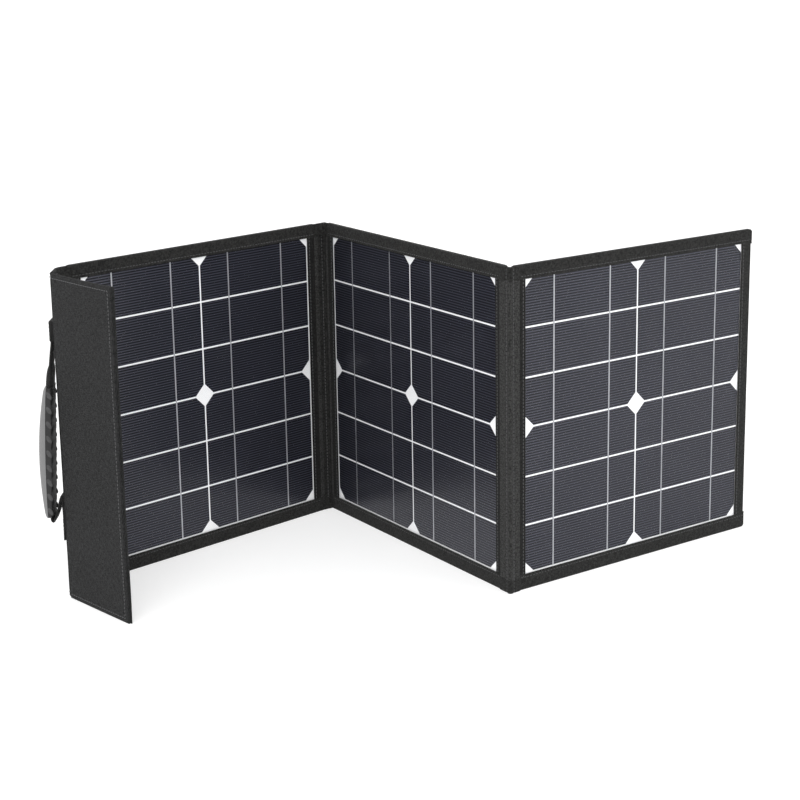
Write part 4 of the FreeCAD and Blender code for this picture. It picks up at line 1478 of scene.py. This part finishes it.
def build_stage():
    scene = bpy.context.scene
    scene.view_settings.view_transform = "Standard"
    right, ahead = Vector(CAMERA_RIGHT).normalized(), Vector(CAMERA_FORWARD).normalized()
    up = right.cross(ahead).normalized()
    turned = Matrix((right, up, -ahead)).transposed().to_4x4()
    data = bpy.data.cameras.new("studio_camera")
    data.lens, data.sensor_width = CAMERA_LENS, 36.0
    data.shift_y = CAMERA_RISE
    data.clip_end = 100.0
    camera = bpy.data.objects.new("studio_camera", data)
    camera.matrix_world = Matrix.Translation(CAMERA_AT) @ turned
    scene.collection.objects.link(camera)
    scene.camera = camera

    mesh = bpy.data.meshes.new("studio_floor")
    square = [(x * FLOOR_REACH, y * FLOOR_REACH, 0) for x, y in ((-1, -1), (1, -1), (1, 1), (-1, 1))]
    mesh.from_pydata(square, [], [(0, 1, 2, 3)])
    mesh.materials.append(finish("studio_floor"))
    floor = bpy.data.objects.new("studio_floor", mesh)
    scene.collection.objects.link(floor)

    world = bpy.data.worlds.new("studio_world")
    world.use_nodes = True
    background = world.node_tree.nodes["Background"]
    background.inputs["Color"].default_value = (1.0, 1.0, 1.0, 1)
    background.inputs["Strength"].default_value = SKY_STRENGTH
    scene.world = world
    for name, spot, wide, power in LIGHTS:
        lamp = bpy.data.lights.new(name, "AREA")
        lamp.shape, lamp.size, lamp.energy = "DISK", wide, power
        holder = bpy.data.objects.new(name, lamp)
        aim = Vector((0, 0, 0.15)) - Vector(spot)
        holder.matrix_world = Matrix.Translation(spot) @ aim.to_track_quat("-Z", "Y").to_matrix().to_4x4()
        scene.collection.objects.link(holder)


# ---- operators, panel and registration -------------------------------------------------------------------


class SOLARCASE_OT_finishes(bpy.types.Operator):
    """Give every shaped part its finish"""

    bl_idname = "solar_case.finishes"
    bl_label = "Finishes"

    def execute(self, context):
        paint_frame()
        return {"FINISHED"}


class SOLARCASE_OT_tapes(bpy.types.Operator):
    """Build the folded tape round each panel"""

    bl_idname = "solar_case.tapes"
    bl_label = "Edge Tapes"

    def execute(self, context):
        build_edge_tapes()
        return {"FINISHED"}


class SOLARCASE_OT_folds(bpy.types.Operator):
    """Build the cloth that crosses each fold"""

    bl_idname = "solar_case.folds"
    bl_label = "Fold Cloths"

    def execute(self, context):
        build_outer_fold()
        build_inner_fold()
        build_spine_folds()
        return {"FINISHED"}


class SOLARCASE_OT_covers(bpy.types.Operator):
    """Build the cloth over the spine, the flap and the panels' backs"""

    bl_idname = "solar_case.covers"
    bl_label = "Case Cloth"

    def execute(self, context):
        build_flap()
        build_spine()
        build_panel_backs()
        build_patches()
        return {"FINISHED"}


class SOLARCASE_OT_handle(bpy.types.Operator):
    """Build the strap and the moulded grip"""

    bl_idname = "solar_case.handle"
    bl_label = "Handle"

    def execute(self, context):
        build_handle()
        return {"FINISHED"}


class SOLARCASE_OT_pocket(bpy.types.Operator):
    """Build the accessory pocket and its lid"""

    bl_idname = "solar_case.pocket"
    bl_label = "Pocket"

    def execute(self, context):
        build_pocket()
        return {"FINISHED"}


class SOLARCASE_OT_stage(bpy.types.Operator):
    """Set up the floor, the soft light and the camera"""

    bl_idname = "solar_case.stage"
    bl_label = "Stage"

    def execute(self, context):
        build_stage()
        return {"FINISHED"}


STEPS = (
    SOLARCASE_OT_finishes,
    SOLARCASE_OT_tapes,
    SOLARCASE_OT_folds,
    SOLARCASE_OT_covers,
    SOLARCASE_OT_handle,
    SOLARCASE_OT_pocket,
    SOLARCASE_OT_stage,
)


class SOLARCASE_PT_panel(bpy.types.Panel):
    """Lists the pieces and their settings"""

    bl_idname = "SOLARCASE_PT_panel"
    bl_label = "Solar Case"
    bl_space_type = "VIEW_3D"
    bl_region_type = "UI"
    bl_category = "Solar Case"

    def draw(self, context):
        for each in STEPS:
            self.layout.operator(each.bl_idname)
        for group in (context.scene.solar_case_sizes, context.scene.solar_case_colours):
            for key in group.bl_rna.properties.keys():
                if key not in ("rna_type", "name"):
                    self.layout.prop(group, key)


CLASSES = (SolarCaseSizes, SolarCaseColours, *STEPS, SOLARCASE_PT_panel)


def register():
    for each in CLASSES:
        bpy.utils.register_class(each)
    bpy.types.Scene.solar_case_sizes = bpy.props.PointerProperty(type=SolarCaseSizes)
    bpy.types.Scene.solar_case_colours = bpy.props.PointerProperty(type=SolarCaseColours)


def unregister():
    del bpy.types.Scene.solar_case_colours
    del bpy.types.Scene.solar_case_sizes
    for each in reversed(CLASSES):
        bpy.utils.unregister_class(each)


def main():
    register()
    for each in STEPS:
        group, action = each.bl_idname.split(".")
        getattr(getattr(bpy.ops, group), action)()


if __name__ == "__main__":
    main()
